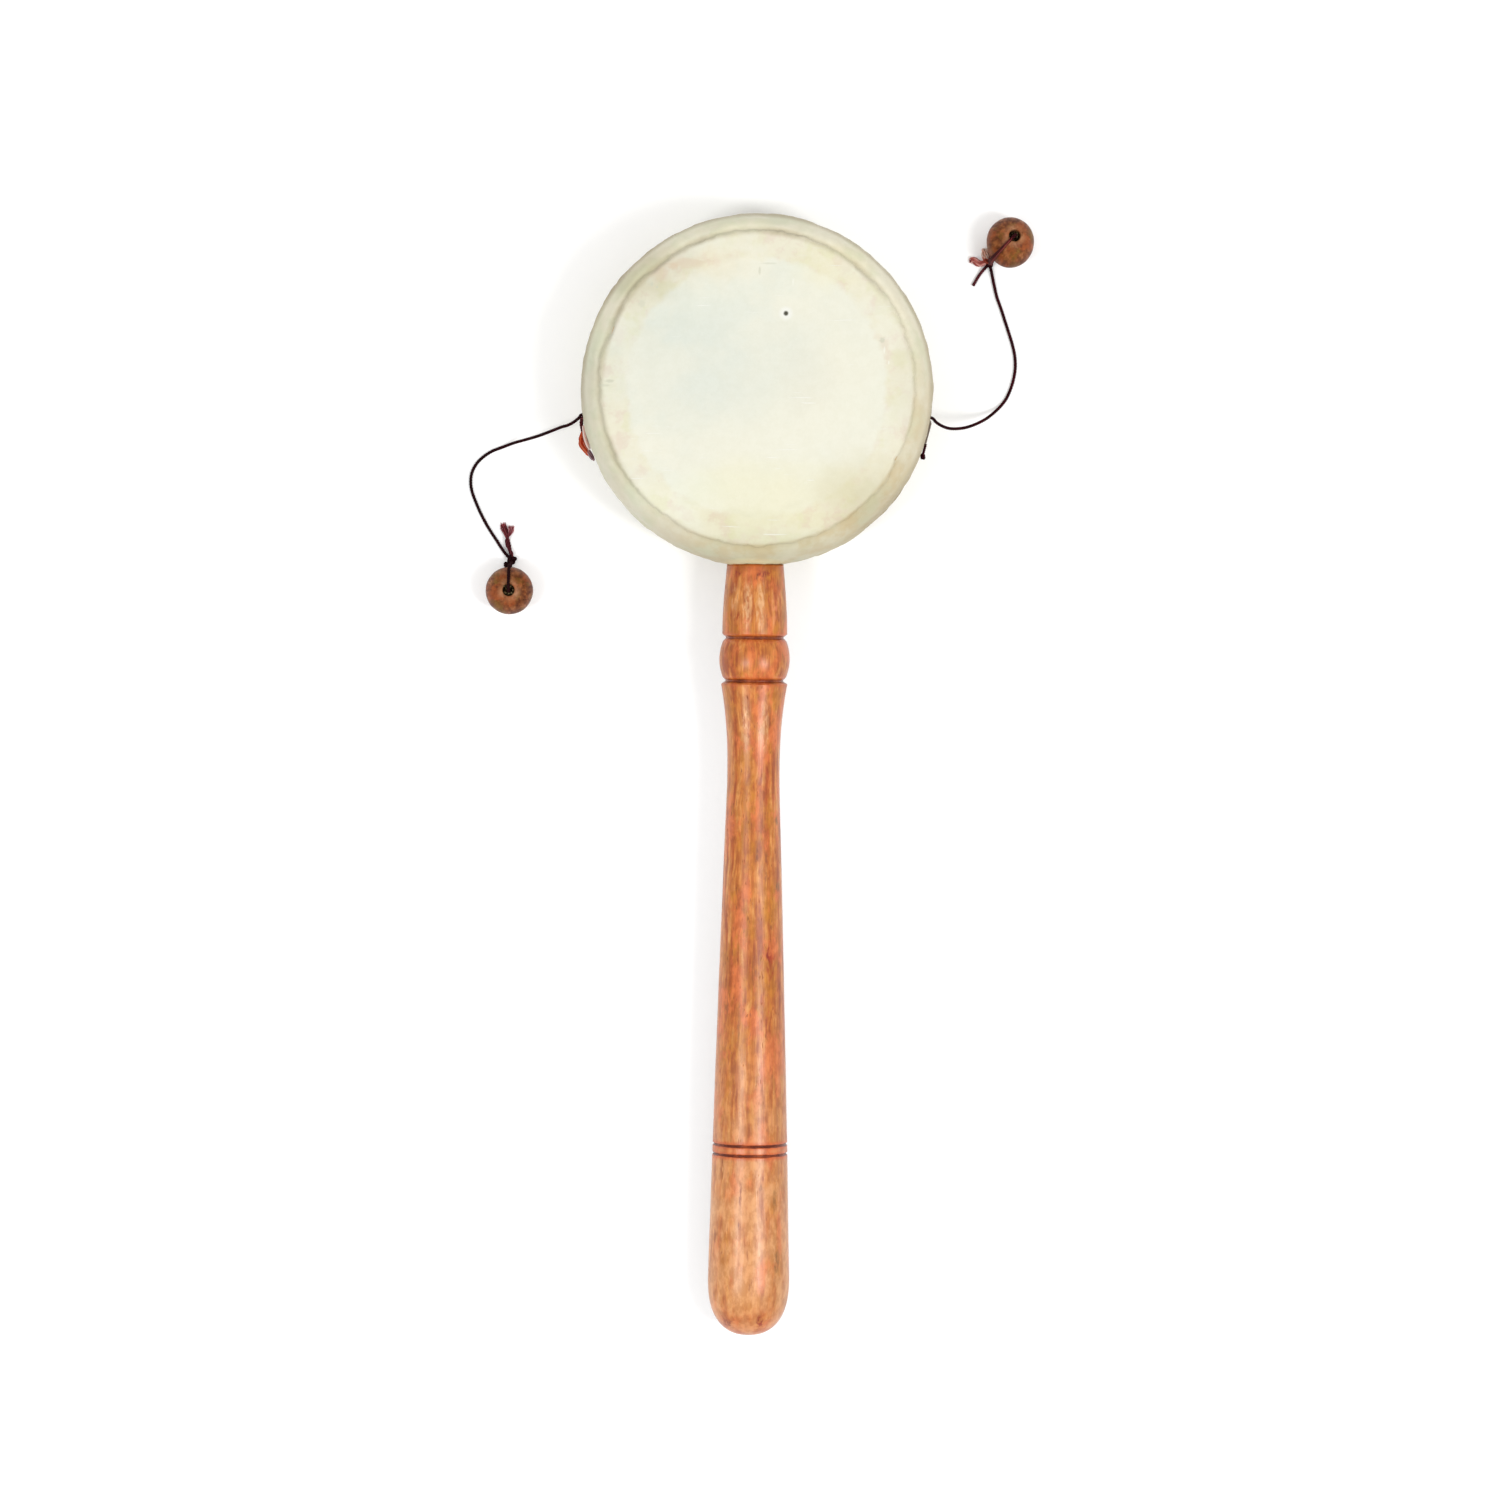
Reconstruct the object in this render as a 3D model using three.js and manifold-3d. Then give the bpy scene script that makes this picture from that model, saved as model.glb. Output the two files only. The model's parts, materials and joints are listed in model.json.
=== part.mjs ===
// A hand drum on a turned handle, with two skins and two beads on cords.
// Millimetres, +Z up. The drum lies on its lower skin with the butt of the handle on the same floor.
// The origin is on the floor, under the middle of the drum and handle. +Y points from butt to drum.

import * as THREE from "three";
import { mergeVertices } from "three/addons/utils/BufferGeometryUtils.js";
import Module from "manifold-3d";

// Drum, over the skins
const DRUM_RADIUS = 47.7; // at half depth
const DRUM_DEPTH = 36; // from face to face
const SHOULDER_WIDTH = 4.7; // side to the crease around each face
const FACE_EDGE_WIDTH = 1.4; // crease to the flat part of the face
const FACE_STEP = 1.5; // height of the face above the crease
const SKIN_THICKNESS = 0.6;
const SEAM_WIDTH = 3; // bare strip of shell between the edges of the two skins

// Shell, a turned ring
const RIM_WIDTH = 7.1; // flat part of the face that lies on the shell

// Handle, in order from the drum
const TENON_RADIUS = 4.5;
const TENON_LENGTH = 12; // into the drum, from its side
const NECK_RADIUS = 7.6; // at the drum
const NECK_FLARE_RADIUS = 8.75; // at the first groove
const NECK_LENGTH = 19.3; // drum's side to the first groove
const RING_RADIUS = 9.5; // raised ring between the two grooves
const RING_EDGE_RADIUS = 8.5;
const RING_LENGTH = 11.7; // groove to groove
const GROOVE_WIDTH = 1.7;
const GROOVE_RADIUS = 7.75; // at the bottom of the grooves beside the ring
const COLLAR_RADIUS = 8.97; // just past the second groove
const COLLAR_LENGTH = 22.3; // second groove to the start of the waist
const WAIST_RADIUS = 7.06;
const GRIP_LENGTH = 140.7; // start of the waist to the thickest part
const PALM_RADIUS = 11.1; // thickest part
const BUTT_LENGTH = 15.3; // thickest part to the end
const GRIP_START = 0.04; // share of the grip that stays as thin as the waist
const GRIP_BULGE = 0.2; // 0 for a straight taper
const BUTT_FULLNESS = 2.4; // 2 for half a ball
const LINE_FROM_END = 52.3; // first of the two fine lines
const LINE_SPACING = 2.6;
const LINE_WIDTH = 1.1;
const LINE_DEPTH = 0.4;

// Cords and beads
const CORD_RADIUS = 0.46;
const HOLE_BELOW_CENTRE = 7.4; // cord holes, from the drum's centre line towards the handle
const CORD_IN_HOLE = 5;
const CORD_PRESSED = 0.75; // gap between two cords' middles in a hole, as a share of their width
const BEAD_RADIUS = 6.45;
const BEAD_BORE_RADIUS = 1.5;
const CORD_TURN = 1.7; // radius of a cord's turn into and out of a bead
const KNOT_RADII = [1.3, 1.3, 1.2];
const KNOT_HEIGHT = 1.4; // middle of a knot above the floor
const CORD_ON_FLOOR = 0.6; // middle of a lying cord above the floor

// Clearances
const GLUE_GAP = 0.3; // between skin and shell
const FIT_GAP = 0.3; // between handle and drum, and around a cord

// Fineness of round shapes
const DRUM_SIDES = 40;
const FACE_EDGE_STEPS = 2;
const SHOULDER_STEPS = 5;
const HANDLE_SIDES = 24;
const HANDLE_STEPS = { neck: 5, ring: 6, collar: 6, grip: 6, palm: 3, butt: 8 };
const BEAD_SIDES = 16;
const BEAD_ROWS = 9;
const CORD_SIDES = 6;
const CORD_STEPS = { route: 32, bend: 4, loop: 26, tail: 3, tiedEnd: 7 };
const LUMP_SIDES = [8, 5];
const MERGE_DISTANCE = 1e-4;

// Each route runs from its hole to the knot: outwards from the drum's side, along +Y, and the height
// as a share of the hole's height. The bead's place is counted from the same hole.
const RIGHT_STRING = {
  side: 1,
  route: [
    [1.2, -0.9, 0.99], [2.8, -1.8, 0.95], [4.5, -2.2, 0.88], [6.2, -2.3, 0.8], [9.5, -1.8, 0.61],
    [13, -0.4, 0.38], [16.4, 1.7, 0.16], [19.8, 4.9, 0.01], [21.4, 7.1, 0], [23, 11.2, 0],
    [23.7, 15.1, 0], [23.6, 18.4, 0], [22.9, 21.7, 0], [21.9, 24.9, 0], [20.8, 28.2, 0],
    [19.7, 31.5, 0], [18.5, 34.8, 0], [17.7, 38.1, 0], [17, 41.4, 0.01],
  ],
  knot: [16.4, 44.1],
  bead: [21.7, 49.6],
  boreLean: THREE.MathUtils.degToRad(13.7),
  tails: [[[-2.6, -3], [-4.5, -6.2]], [[-2.6, 0.9], [-5.4, 0.7]], [[-0.8, 1.9], [-1.5, 3.7]]],
  tiedEnd: { length: 10.2, lumpAt: 10.2, lump: [0.8, 0.8, 0.8] },
};
const LEFT_STRING = {
  side: -1,
  route: [
    [1, -0.4, 0.99], [2.5, -1.6, 0.96], [4.1, -2.4, 0.9], [5.8, -2.8, 0.82], [9.2, -3.9, 0.62],
    [12.6, -4.9, 0.4], [16, -5.7, 0.2], [19.4, -6.5, 0.05], [22.7, -7.7, 0], [26, -9.1, 0],
    [29.3, -11.8, 0], [30.9, -14.7, 0], [31.2, -17.1, 0], [30.9, -19.6, 0], [29.7, -22.9, 0],
    [28.2, -26.2, 0], [26.4, -29.5, 0], [24.3, -32.7, 0], [22.1, -36, 0.01],
  ],
  knot: [20, -38.7],
  bead: [20, -47.2],
  boreLean: 0,
  tails: [[[0.2, 3], [1, 6.3], [2.3, 10]], [[0.2, 3], [1, 6.3], [0.3, 9.1]]],
  tiedEnd: { length: 12, lumpAt: 6.8, lump: [1.1, 2.6, 1.1] },
};

const SKIN = new THREE.MeshStandardMaterial({ color: "#ecebda", roughness: 0.6, metalness: 0 });
const SHELL_WOOD = new THREE.MeshStandardMaterial({ color: "#d6c8a5", roughness: 0.7, metalness: 0 });
const HANDLE_WOOD = new THREE.MeshStandardMaterial({ color: "#d8925a", roughness: 0.45, metalness: 0 });
const BEAD_WOOD = new THREE.MeshStandardMaterial({ color: "#835037", roughness: 0.5, metalness: 0 });
const CORD = new THREE.MeshStandardMaterial({ color: "#3a1216", roughness: 0.9, metalness: 0 });

const wasm = await Module();
wasm.setup();

// A closed geometry as a solid that can be cut and joined.
function solidOf(geometry) {
  const bare = geometry.clone();
  bare.deleteAttribute("normal");
  bare.deleteAttribute("uv");
  const merged = mergeVertices(bare, MERGE_DISTANCE);
  return new wasm.Manifold(new wasm.Mesh({
    numProp: 3,
    vertProperties: merged.attributes.position.array,
    triVerts: new Uint32Array(merged.index.array),
  }));
}

function geometryOf(solid) {
  const mesh = solid.getMesh();
  const geometry = new THREE.BufferGeometry();
  geometry.setAttribute("position", new THREE.BufferAttribute(mesh.vertProperties, mesh.numProp));
  geometry.setIndex(new THREE.BufferAttribute(mesh.triVerts, 1));
  geometry.computeVertexNormals();
  return geometry;
}

function meshOf(name, geometry, material) {
  const mesh = new THREE.Mesh(geometry, material);
  mesh.name = name;
  return mesh;
}

// Evenly spaced values from start to end, both included.
function spaced(start, end, steps) {
  return Array.from({ length: steps + 1 }, (_, i) => start + ((end - start) * i) / steps);
}

// A line of (radius, height) points turned about the drum's axis, +Z. An edge of it faces the handle.
function turnedAboutZ(line) {
  const geometry = new THREE.LatheGeometry(line, DRUM_SIDES, Math.PI / DRUM_SIDES);
  return geometry.rotateX(Math.PI / 2);
}

// A round bar between two points.
function bar(from, to, radius, sides) {
  const along = new THREE.Vector3().subVectors(to, from);
  const turn = new THREE.Quaternion().setFromUnitVectors(
    new THREE.Vector3(0, 1, 0), along.clone().normalize());
  const geometry = new THREE.CylinderGeometry(radius, radius, along.length(), sides);
  geometry.applyQuaternion(turn);
  geometry.translate(...from.clone().lerp(to, 0.5).toArray());
  return solidOf(geometry);
}

// Drum outline, seen from the side

const creaseRadius = DRUM_RADIUS - SHOULDER_WIDTH;
const faceRadius = creaseRadius - FACE_EDGE_WIDTH;
const boreRadius = faceRadius - RIM_WIDTH;

// The upper half's outside, from the middle of the face over its edge and down the side.
function upperOutline(lowest) {
  const half = DRUM_DEPTH / 2;
  const shoulder = half - FACE_STEP;
  const points = [new THREE.Vector2(0, half)];
  for (const turn of spaced(0, Math.PI / 2, FACE_EDGE_STEPS)) {
    points.push(new THREE.Vector2(
      faceRadius + FACE_EDGE_WIDTH * Math.sin(turn), shoulder + FACE_STEP * Math.cos(turn)));
  }
  for (const turn of spaced(Math.PI / 2, Math.asin(lowest / shoulder), SHOULDER_STEPS).slice(1)) {
    points.push(new THREE.Vector2(
      creaseRadius + SHOULDER_WIDTH * Math.cos(turn), shoulder * Math.sin(turn)));
  }
  return points;
}

// A line moved sideways by a depth, towards the drum's inside where the depth is positive.
function inset(line, depth) {
  const normals = line.slice(1).map((point, i) => {
    const along = point.clone().sub(line[i]).normalize();
    return new THREE.Vector2(along.y, -along.x);
  });
  return line.map((point, i) => {
    const before = normals[Math.max(i - 1, 0)];
    const after = normals[Math.min(i, normals.length - 1)];
    const mitre = before.clone().add(after).normalize();
    return point.clone().addScaledVector(mitre, depth / mitre.dot(after));
  });
}

function mirrored(line) {
  return line.map((point) => new THREE.Vector2(point.x, -point.y)).reverse();
}

// The whole drum as one solid, grown all over by a gap.
function drumEnvelope(gap) {
  const upper = inset(upperOutline(0), -gap);
  return solidOf(turnedAboutZ([...upper, ...mirrored(upper).slice(1)].reverse()));
}

// Drum pieces

const tenonTip = DRUM_RADIUS - TENON_LENGTH;
const tenonHole = bar(
  new THREE.Vector3(0, 0, 0), new THREE.Vector3(0, -2 * DRUM_RADIUS, 0),
  TENON_RADIUS + FIT_GAP, HANDLE_SIDES);
const cordHoleRadius = 2 * CORD_RADIUS + FIT_GAP;
const holeAngle = Math.asin(HOLE_BELOW_CENTRE / DRUM_RADIUS);

// A point beside a cord hole: its distance from the drum's axis, and how far round towards the handle.
function besideDrum(side, radius, round) {
  const angle = holeAngle + round / DRUM_RADIUS;
  return new THREE.Vector3(side * radius * Math.cos(angle), -radius * Math.sin(angle), 0);
}

function makeShell() {
  const rim = inset(upperOutline(0), SKIN_THICKNESS + GLUE_GAP).slice(1);
  const top = new THREE.Vector2(boreRadius, rim[0].y);
  const upper = [top, ...rim];
  const line = [...upper, ...mirrored(upper).slice(1), top.clone()];
  let shell = solidOf(turnedAboutZ(line.reverse())).subtract(tenonHole);
  for (const { side } of [RIGHT_STRING, LEFT_STRING]) {
    shell = shell.subtract(bar(
      besideDrum(side, boreRadius / 2, 0), besideDrum(side, 2 * DRUM_RADIUS, 0),
      cordHoleRadius, CORD_SIDES));
  }
  return geometryOf(shell);
}

// One skin: a disc with a skirt down the side, notched for the tenon.
function makeSkin(isUpper) {
  const outside = upperOutline(SEAM_WIDTH / 2);
  const inside = inset(outside, SKIN_THICKNESS);
  const line = [...outside, ...inside.reverse()].reverse();
  const geometry = turnedAboutZ(line);
  if (!isUpper) geometry.rotateY(Math.PI);
  return geometryOf(solidOf(geometry).subtract(tenonHole));
}

// Handle, along -Y from the drum. Places are distances from the drum's axis.

const firstGroove = DRUM_RADIUS + NECK_LENGTH;
const secondGroove = firstGroove + RING_LENGTH;
const waist = secondGroove + COLLAR_LENGTH;
const palm = waist + GRIP_LENGTH;
const buttEnd = palm + BUTT_LENGTH;
const firstLine = buttEnd - LINE_FROM_END;

function neckRadius(place) {
  const share = Math.min((place - DRUM_RADIUS) / (NECK_LENGTH - GROOVE_WIDTH), 1);
  return NECK_RADIUS + (NECK_FLARE_RADIUS - NECK_RADIUS) * Math.sin((share * Math.PI) / 2);
}

function ringRadius(place) {
  const fromMiddle = (place - (firstGroove + secondGroove) / 2) / ((RING_LENGTH - GROOVE_WIDTH) / 2);
  return RING_RADIUS - (RING_RADIUS - RING_EDGE_RADIUS) * fromMiddle ** 2;
}

function collarRadius(place) {
  const share = (place - secondGroove - GROOVE_WIDTH / 2) / (COLLAR_LENGTH - GROOVE_WIDTH / 2);
  return WAIST_RADIUS + (COLLAR_RADIUS - WAIST_RADIUS) * (1 - share) ** 2;
}

// The grip swells from the waist to the palm, a little faster at first.
function gripRadius(place) {
  const share = Math.max(((place - waist) / GRIP_LENGTH - GRIP_START) / (1 - GRIP_START), 0);
  return WAIST_RADIUS + (PALM_RADIUS - WAIST_RADIUS) * share * (1 + GRIP_BULGE * (1 - share));
}

// The butt is fuller than half a ball.
function buttRadius(place) {
  const share = Math.min((place - palm) / BUTT_LENGTH, 1);
  return PALM_RADIUS * (1 - share ** BUTT_FULLNESS) ** (1 / BUTT_FULLNESS);
}

// A V cut: its two edges on the surface and its bottom.
function groove(place, width, bottom, before, after) {
  return [[place - width / 2, before(place - width / 2)], [place, bottom],
    [place + width / 2, after(place + width / 2)]];
}

function handleStations() {
  const steps = HANDLE_STEPS;
  const half = GROOVE_WIDTH / 2;
  const on = (radiusAt) => (place) => [place, radiusAt(place)];
  const fineLine = (place) => groove(
    place, LINE_WIDTH, gripRadius(place) - LINE_DEPTH, gripRadius, gripRadius);
  const secondLine = firstLine + LINE_SPACING;
  return [
    ...spaced(DRUM_RADIUS, firstGroove - half, steps.neck).slice(0, -1).map(on(neckRadius)),
    ...groove(firstGroove, GROOVE_WIDTH, GROOVE_RADIUS, neckRadius, ringRadius),
    ...spaced(firstGroove + half, secondGroove - half, steps.ring).slice(1, -1).map(on(ringRadius)),
    ...groove(secondGroove, GROOVE_WIDTH, GROOVE_RADIUS, ringRadius, collarRadius),
    ...spaced(secondGroove + half, waist, steps.collar).slice(1).map(on(collarRadius)),
    ...spaced(waist, firstLine - LINE_WIDTH / 2, steps.grip).slice(1, -1).map(on(gripRadius)),
    ...fineLine(firstLine),
    ...fineLine(secondLine),
    ...spaced(secondLine + LINE_WIDTH / 2, palm, steps.palm).slice(1, -1).map(on(gripRadius)),
    ...spaced(0, Math.PI / 2, steps.butt).map((turn) =>
      on(buttRadius)(palm + BUTT_LENGTH * Math.sin(turn))),
  ];
}

// The neck is coped to the drum's side, and its tenon goes on through the shell's wall.
function makeHandle(stations) {
  const coped = DRUM_RADIUS - NECK_RADIUS / 2;
  const line = [[coped, 0], [coped, NECK_RADIUS], ...stations];
  const outline = line.map(([place, radius]) => new THREE.Vector2(radius, -place)).reverse();
  const tenon = bar(
    new THREE.Vector3(0, -tenonTip, 0), new THREE.Vector3(0, -(DRUM_RADIUS + NECK_RADIUS), 0),
    TENON_RADIUS, HANDLE_SIDES);
  const stick = solidOf(new THREE.LatheGeometry(outline, HANDLE_SIDES));
  return geometryOf(stick.subtract(drumEnvelope(FIT_GAP)).add(tenon));
}

// The drum and handle lie down: the handle drops until its butt meets the plane of the lower face's edge.
function lyingTilt(stations) {
  const edge = faceRadius * Math.cos(Math.PI / DRUM_SIDES);
  const slopes = stations.map(([place, radius]) => Math.atan2(DRUM_DEPTH / 2 - radius, place - edge));
  return Math.min(...slopes);
}

const stations = handleStations();
const instrument = new THREE.Group();
instrument.add(
  meshOf("shell", makeShell(), SHELL_WOOD),
  meshOf("head_upper", makeSkin(true), SKIN),
  meshOf("head_lower", makeSkin(false), SKIN),
  meshOf("handle", makeHandle(stations), HANDLE_WOOD),
);
instrument.rotation.x = lyingTilt(stations);
instrument.updateMatrixWorld(true);
const tilted = new THREE.Box3().setFromObject(instrument, true);
instrument.position.set(0, -(tilted.min.y + tilted.max.y) / 2, -tilted.min.z);
instrument.updateMatrixWorld(true);

// Cords and beads, in the part's own frame

const overBead = BEAD_RADIUS + CORD_RADIUS + FIT_GAP;
const underBead = Math.sqrt(BEAD_RADIUS ** 2 - BEAD_BORE_RADIUS ** 2) + CORD_RADIUS + FIT_GAP;
const beadHeight = CORD_ON_FLOOR + underBead;

// A cord along a smooth curve through the points, with closed ends.
function cordAlong(points, steps) {
  const section = new THREE.Shape(
    spaced(0, 2 * Math.PI, CORD_SIDES).slice(0, -1).map((turn) =>
      new THREE.Vector2(CORD_RADIUS * Math.cos(turn), CORD_RADIUS * Math.sin(turn))));
  const path = new THREE.CatmullRomCurve3(points);
  return solidOf(new THREE.ExtrudeGeometry(section, { steps, extrudePath: path, bevelEnabled: false }));
}

function lump(centre, radii, turn) {
  const geometry = new THREE.SphereGeometry(1, ...LUMP_SIDES);
  geometry.scale(...radii);
  geometry.rotateZ(turn);
  geometry.translate(...centre.toArray());
  return solidOf(geometry);
}

// The loop that holds a bead, seen from the side: out towards the knot, and along the bore.
function beadLoop(knotDistance) {
  const hug = (BEAD_BORE_RADIUS - CORD_RADIUS - FIT_GAP) / 2;
  const turnedIn = CORD_TURN - hug;
  const over = spaced(Math.PI / 2, Math.PI / 6, CORD_STEPS.bend).map((angle) =>
    [overBead * Math.sin(angle), overBead * Math.cos(angle)]);
  const corner = Math.SQRT1_2 * CORD_TURN;
  return [
    ...over,
    [turnedIn, overBead],
    [turnedIn - corner, overBead - CORD_TURN + corner],
    [-hug, overBead - CORD_TURN],
    [-hug, 0],
    [-hug, CORD_TURN - underBead],
    [turnedIn - corner, CORD_TURN - corner - underBead],
    [turnedIn, -underBead],
    [knotDistance / 2, -underBead],
  ];
}

function makeString({ side, route, knot, bead, boreLean, tails, tiedEnd }) {
  const name = side > 0 ? "right" : "left";
  const onDrum = (radius, round) => instrument.localToWorld(besideDrum(side, radius, round));
  const hole = onDrum(DRUM_RADIUS, 0);
  const place = (out, along, height) =>
    new THREE.Vector3(hole.x + side * out, hole.y + along, height);
  const knotCentre = place(...knot, KNOT_HEIGHT);
  const beadCentre = place(...bead, beadHeight);

  const run = route.map(([out, along, share]) =>
    place(out, along, CORD_ON_FLOOR + share * (hole.z - CORD_ON_FLOOR)));
  const beside = CORD_RADIUS * CORD_PRESSED;
  const inner = onDrum(DRUM_RADIUS - CORD_IN_HOLE, -beside);
  const mouth = onDrum(DRUM_RADIUS + CORD_RADIUS, -beside);
  let cord = cordAlong([inner, mouth, ...run, knotCentre], CORD_STEPS.route);

  const towardsKnot = new THREE.Vector3().subVectors(knotCentre, beadCentre).setZ(0);
  const knotDistance = towardsKnot.length();
  towardsKnot.normalize();
  const [sin, cos] = [Math.sin(boreLean), Math.cos(boreLean)];
  const loop = beadLoop(knotDistance).map(([out, up]) =>
    beadCentre.clone()
      .addScaledVector(towardsKnot, out * cos - up * sin)
      .add(new THREE.Vector3(0, 0, out * sin + up * cos)));
  cord = cord.add(cordAlong([knotCentre, ...loop, knotCentre], CORD_STEPS.loop));
  cord = cord.add(lump(knotCentre, KNOT_RADII, 0));

  for (const tail of tails) {
    const points = tail.map(([out, along]) => place(knot[0] + out, knot[1] + along, CORD_ON_FLOOR));
    cord = cord.add(cordAlong([knotCentre, ...points], CORD_STEPS.tail));
  }

  const besideSkin = DRUM_RADIUS + CORD_RADIUS + FIT_GAP;
  const end = spaced(CORD_TURN * 1.5, tiedEnd.length, CORD_STEPS.bend).map((round) =>
    onDrum(besideSkin, round));
  const endInHole = [onDrum(DRUM_RADIUS - CORD_IN_HOLE, beside), onDrum(DRUM_RADIUS, beside)];
  const bend = onDrum(besideSkin + CORD_RADIUS / 2, CORD_TURN);
  cord = cord.add(cordAlong([...endInHole, bend, ...end], CORD_STEPS.tiedEnd));
  const [thick, long, high] = tiedEnd.lump;
  cord = cord.add(lump(
    onDrum(DRUM_RADIUS + FIT_GAP + thick, tiedEnd.lumpAt), [thick, long, high],
    -side * (holeAngle + tiedEnd.lumpAt / DRUM_RADIUS)));

  const group = new THREE.Group();
  group.add(meshOf(`cord_${name}`, geometryOf(cord), CORD));

  const rimHeight = Math.sqrt(BEAD_RADIUS ** 2 - BEAD_BORE_RADIUS ** 2);
  const rimAngle = Math.asin(BEAD_BORE_RADIUS / BEAD_RADIUS);
  const ball = spaced(rimAngle - Math.PI / 2, Math.PI / 2 - rimAngle, BEAD_ROWS).map((angle) =>
    new THREE.Vector2(BEAD_RADIUS * Math.cos(angle), BEAD_RADIUS * Math.sin(angle)));
  const outline = [...ball, new THREE.Vector2(BEAD_BORE_RADIUS, -rimHeight)];
  const geometry = new THREE.LatheGeometry(outline, BEAD_SIDES).rotateX(Math.PI / 2);
  const beadMesh = meshOf(`bead_${name}`, geometry, BEAD_WOOD);
  const leanAxis = new THREE.Vector3(-towardsKnot.y, towardsKnot.x, 0);
  beadMesh.quaternion.setFromAxisAngle(leanAxis, -boreLean);
  beadMesh.position.copy(beadCentre);
  group.add(beadMesh);
  return group;
}

const drum = new THREE.Group();
drum.add(instrument, makeString(LEFT_STRING), makeString(RIGHT_STRING));

export default drum;
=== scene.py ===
"""A hand drum with two hide skins on a wooden shell, a turned handle, and two beads on cords.

Metres, +Z up, and sizes written as millimetres times MM. The drum lies on its lower skin and on the
butt of its handle. Drum and handle are made in the drum's own frame, with +Z through the faces and
the handle along -Y, and then laid down by the drum's pose.
"""

import json
import logging
import math
from dataclasses import dataclass
from enum import Enum
from functools import cache
from typing import Any, Optional, Sequence, Union

import bmesh
import bpy
import numpy as np
from mathutils import Euler, Matrix, Vector


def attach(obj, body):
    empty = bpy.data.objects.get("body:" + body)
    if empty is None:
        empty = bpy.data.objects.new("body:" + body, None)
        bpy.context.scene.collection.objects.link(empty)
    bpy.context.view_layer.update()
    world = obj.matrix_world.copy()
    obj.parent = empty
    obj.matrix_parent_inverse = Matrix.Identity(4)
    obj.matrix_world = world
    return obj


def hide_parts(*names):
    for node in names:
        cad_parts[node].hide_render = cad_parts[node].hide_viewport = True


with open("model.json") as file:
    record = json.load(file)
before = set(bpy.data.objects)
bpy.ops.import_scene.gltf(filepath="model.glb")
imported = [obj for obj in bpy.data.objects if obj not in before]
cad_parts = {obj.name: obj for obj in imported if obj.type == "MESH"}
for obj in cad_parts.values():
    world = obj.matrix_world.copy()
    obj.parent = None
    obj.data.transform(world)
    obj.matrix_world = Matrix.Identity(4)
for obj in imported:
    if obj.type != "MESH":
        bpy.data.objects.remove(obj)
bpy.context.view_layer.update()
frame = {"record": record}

MM = 0.001
BODY = "root"
WHITE_LIGHT = 1.5
LOG = logging.getLogger("drum")

Socket = bpy.types.NodeSocket
Value = Union[Socket, float, int, bool, str, tuple, bpy.types.Material]
Inputs = dict[Union[int, str], Value]
Points = np.ndarray
Colour = tuple[float, float, float, float]


class Side(Enum):
    """The two sides of the drum, seen from above with the handle towards the viewer."""

    LEFT = -1
    RIGHT = 1


class Face(Enum):
    """The drum's two faces, as it lies."""

    UPPER = 1
    LOWER = -1


class Slot(Enum):
    """The record's material slots."""

    SKIN = "skin"
    SHELL = "shell_wood"
    HANDLE = "handle_wood"
    BEAD = "bead_wood"
    CORD = "cord"


class Dye(Enum):
    """The tints of loose fibres, from deep to pale, as screen values."""

    LINT = ((30, 18, 8), (70, 54, 32), (112, 98, 70))
    PINK = ((120, 40, 50), (200, 110, 118), (244, 190, 190))
    MAROON = ((70, 14, 22), (118, 34, 42), (190, 96, 100))
    DARK_MAROON = ((56, 12, 14), (96, 28, 26), (140, 60, 52))
    RED = ((184, 48, 18), (226, 92, 42), (238, 150, 116))
    MAUVE = ((122, 82, 88), (170, 132, 140), (212, 180, 186))
    ROSE = ((236, 184, 168), (252, 220, 206), (255, 240, 230))
    CORAL = ((172, 66, 60), (226, 134, 122), (250, 212, 204))
    BRICK = ((136, 38, 22), (188, 72, 48), (220, 128, 104))
    CREAM = ((224, 158, 136), (242, 200, 180), (252, 230, 216))
    WORN = ((112, 96, 86), (160, 146, 132), (204, 194, 178))


# Colours and lines


def srgb(red: int, green: int, blue: int) -> Colour:
    """The surface colour that shows as these screen values, 0 to 255, in the scene's light."""

    def linear(value: int) -> float:
        """One channel as a share of the light."""
        return ((value / 255 + 0.055) / 1.055) ** 2.4 / WHITE_LIGHT

    return linear(red), linear(green), linear(blue), 1.0


def even_steps(points: Points, step: float) -> Points:
    """The same line with points at even distances.

    Args:
        points: Points along the line, in two or three dimensions.
        step: About how far apart the new points are.

    Returns:
        The new points, with the same first and last one.
    """
    along = np.concatenate([[0.0], np.cumsum(np.linalg.norm(np.diff(points, axis=0), axis=1))])
    places = np.linspace(0.0, along[-1], max(2, round(along[-1] / step) + 1))
    return np.column_stack([np.interp(places, along, column) for column in points.T])


def smooth_line(points: Sequence[Sequence[float]], step: float) -> Points:
    """A smooth line through points.

    Args:
        points: The points that the line passes.
        step: About how far apart the points of the result are.

    Returns:
        Points along the line at even distances.
    """
    given = np.array(points, float)
    knots = np.concatenate([[0.0], np.cumsum(np.linalg.norm(np.diff(given, axis=0), axis=1) ** 0.5)])
    slopes = np.gradient(given, knots, axis=0)
    t = np.linspace(0.0, 1.0, 24, endpoint=False)[:, None]
    stretches = zip(given, given[1:], np.diff(knots), slopes, slopes[1:])
    line = [
        (2 * t**3 - 3 * t**2 + 1) * start + (3 * t**2 - 2 * t**3) * end
        + (t**3 - 2 * t**2 + t) * width * leaving + (t**3 - t**2) * width * arriving
        for start, end, width, leaving, arriving in stretches
    ]
    return even_steps(np.vstack([*line, given[-1:]]), step)


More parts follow.
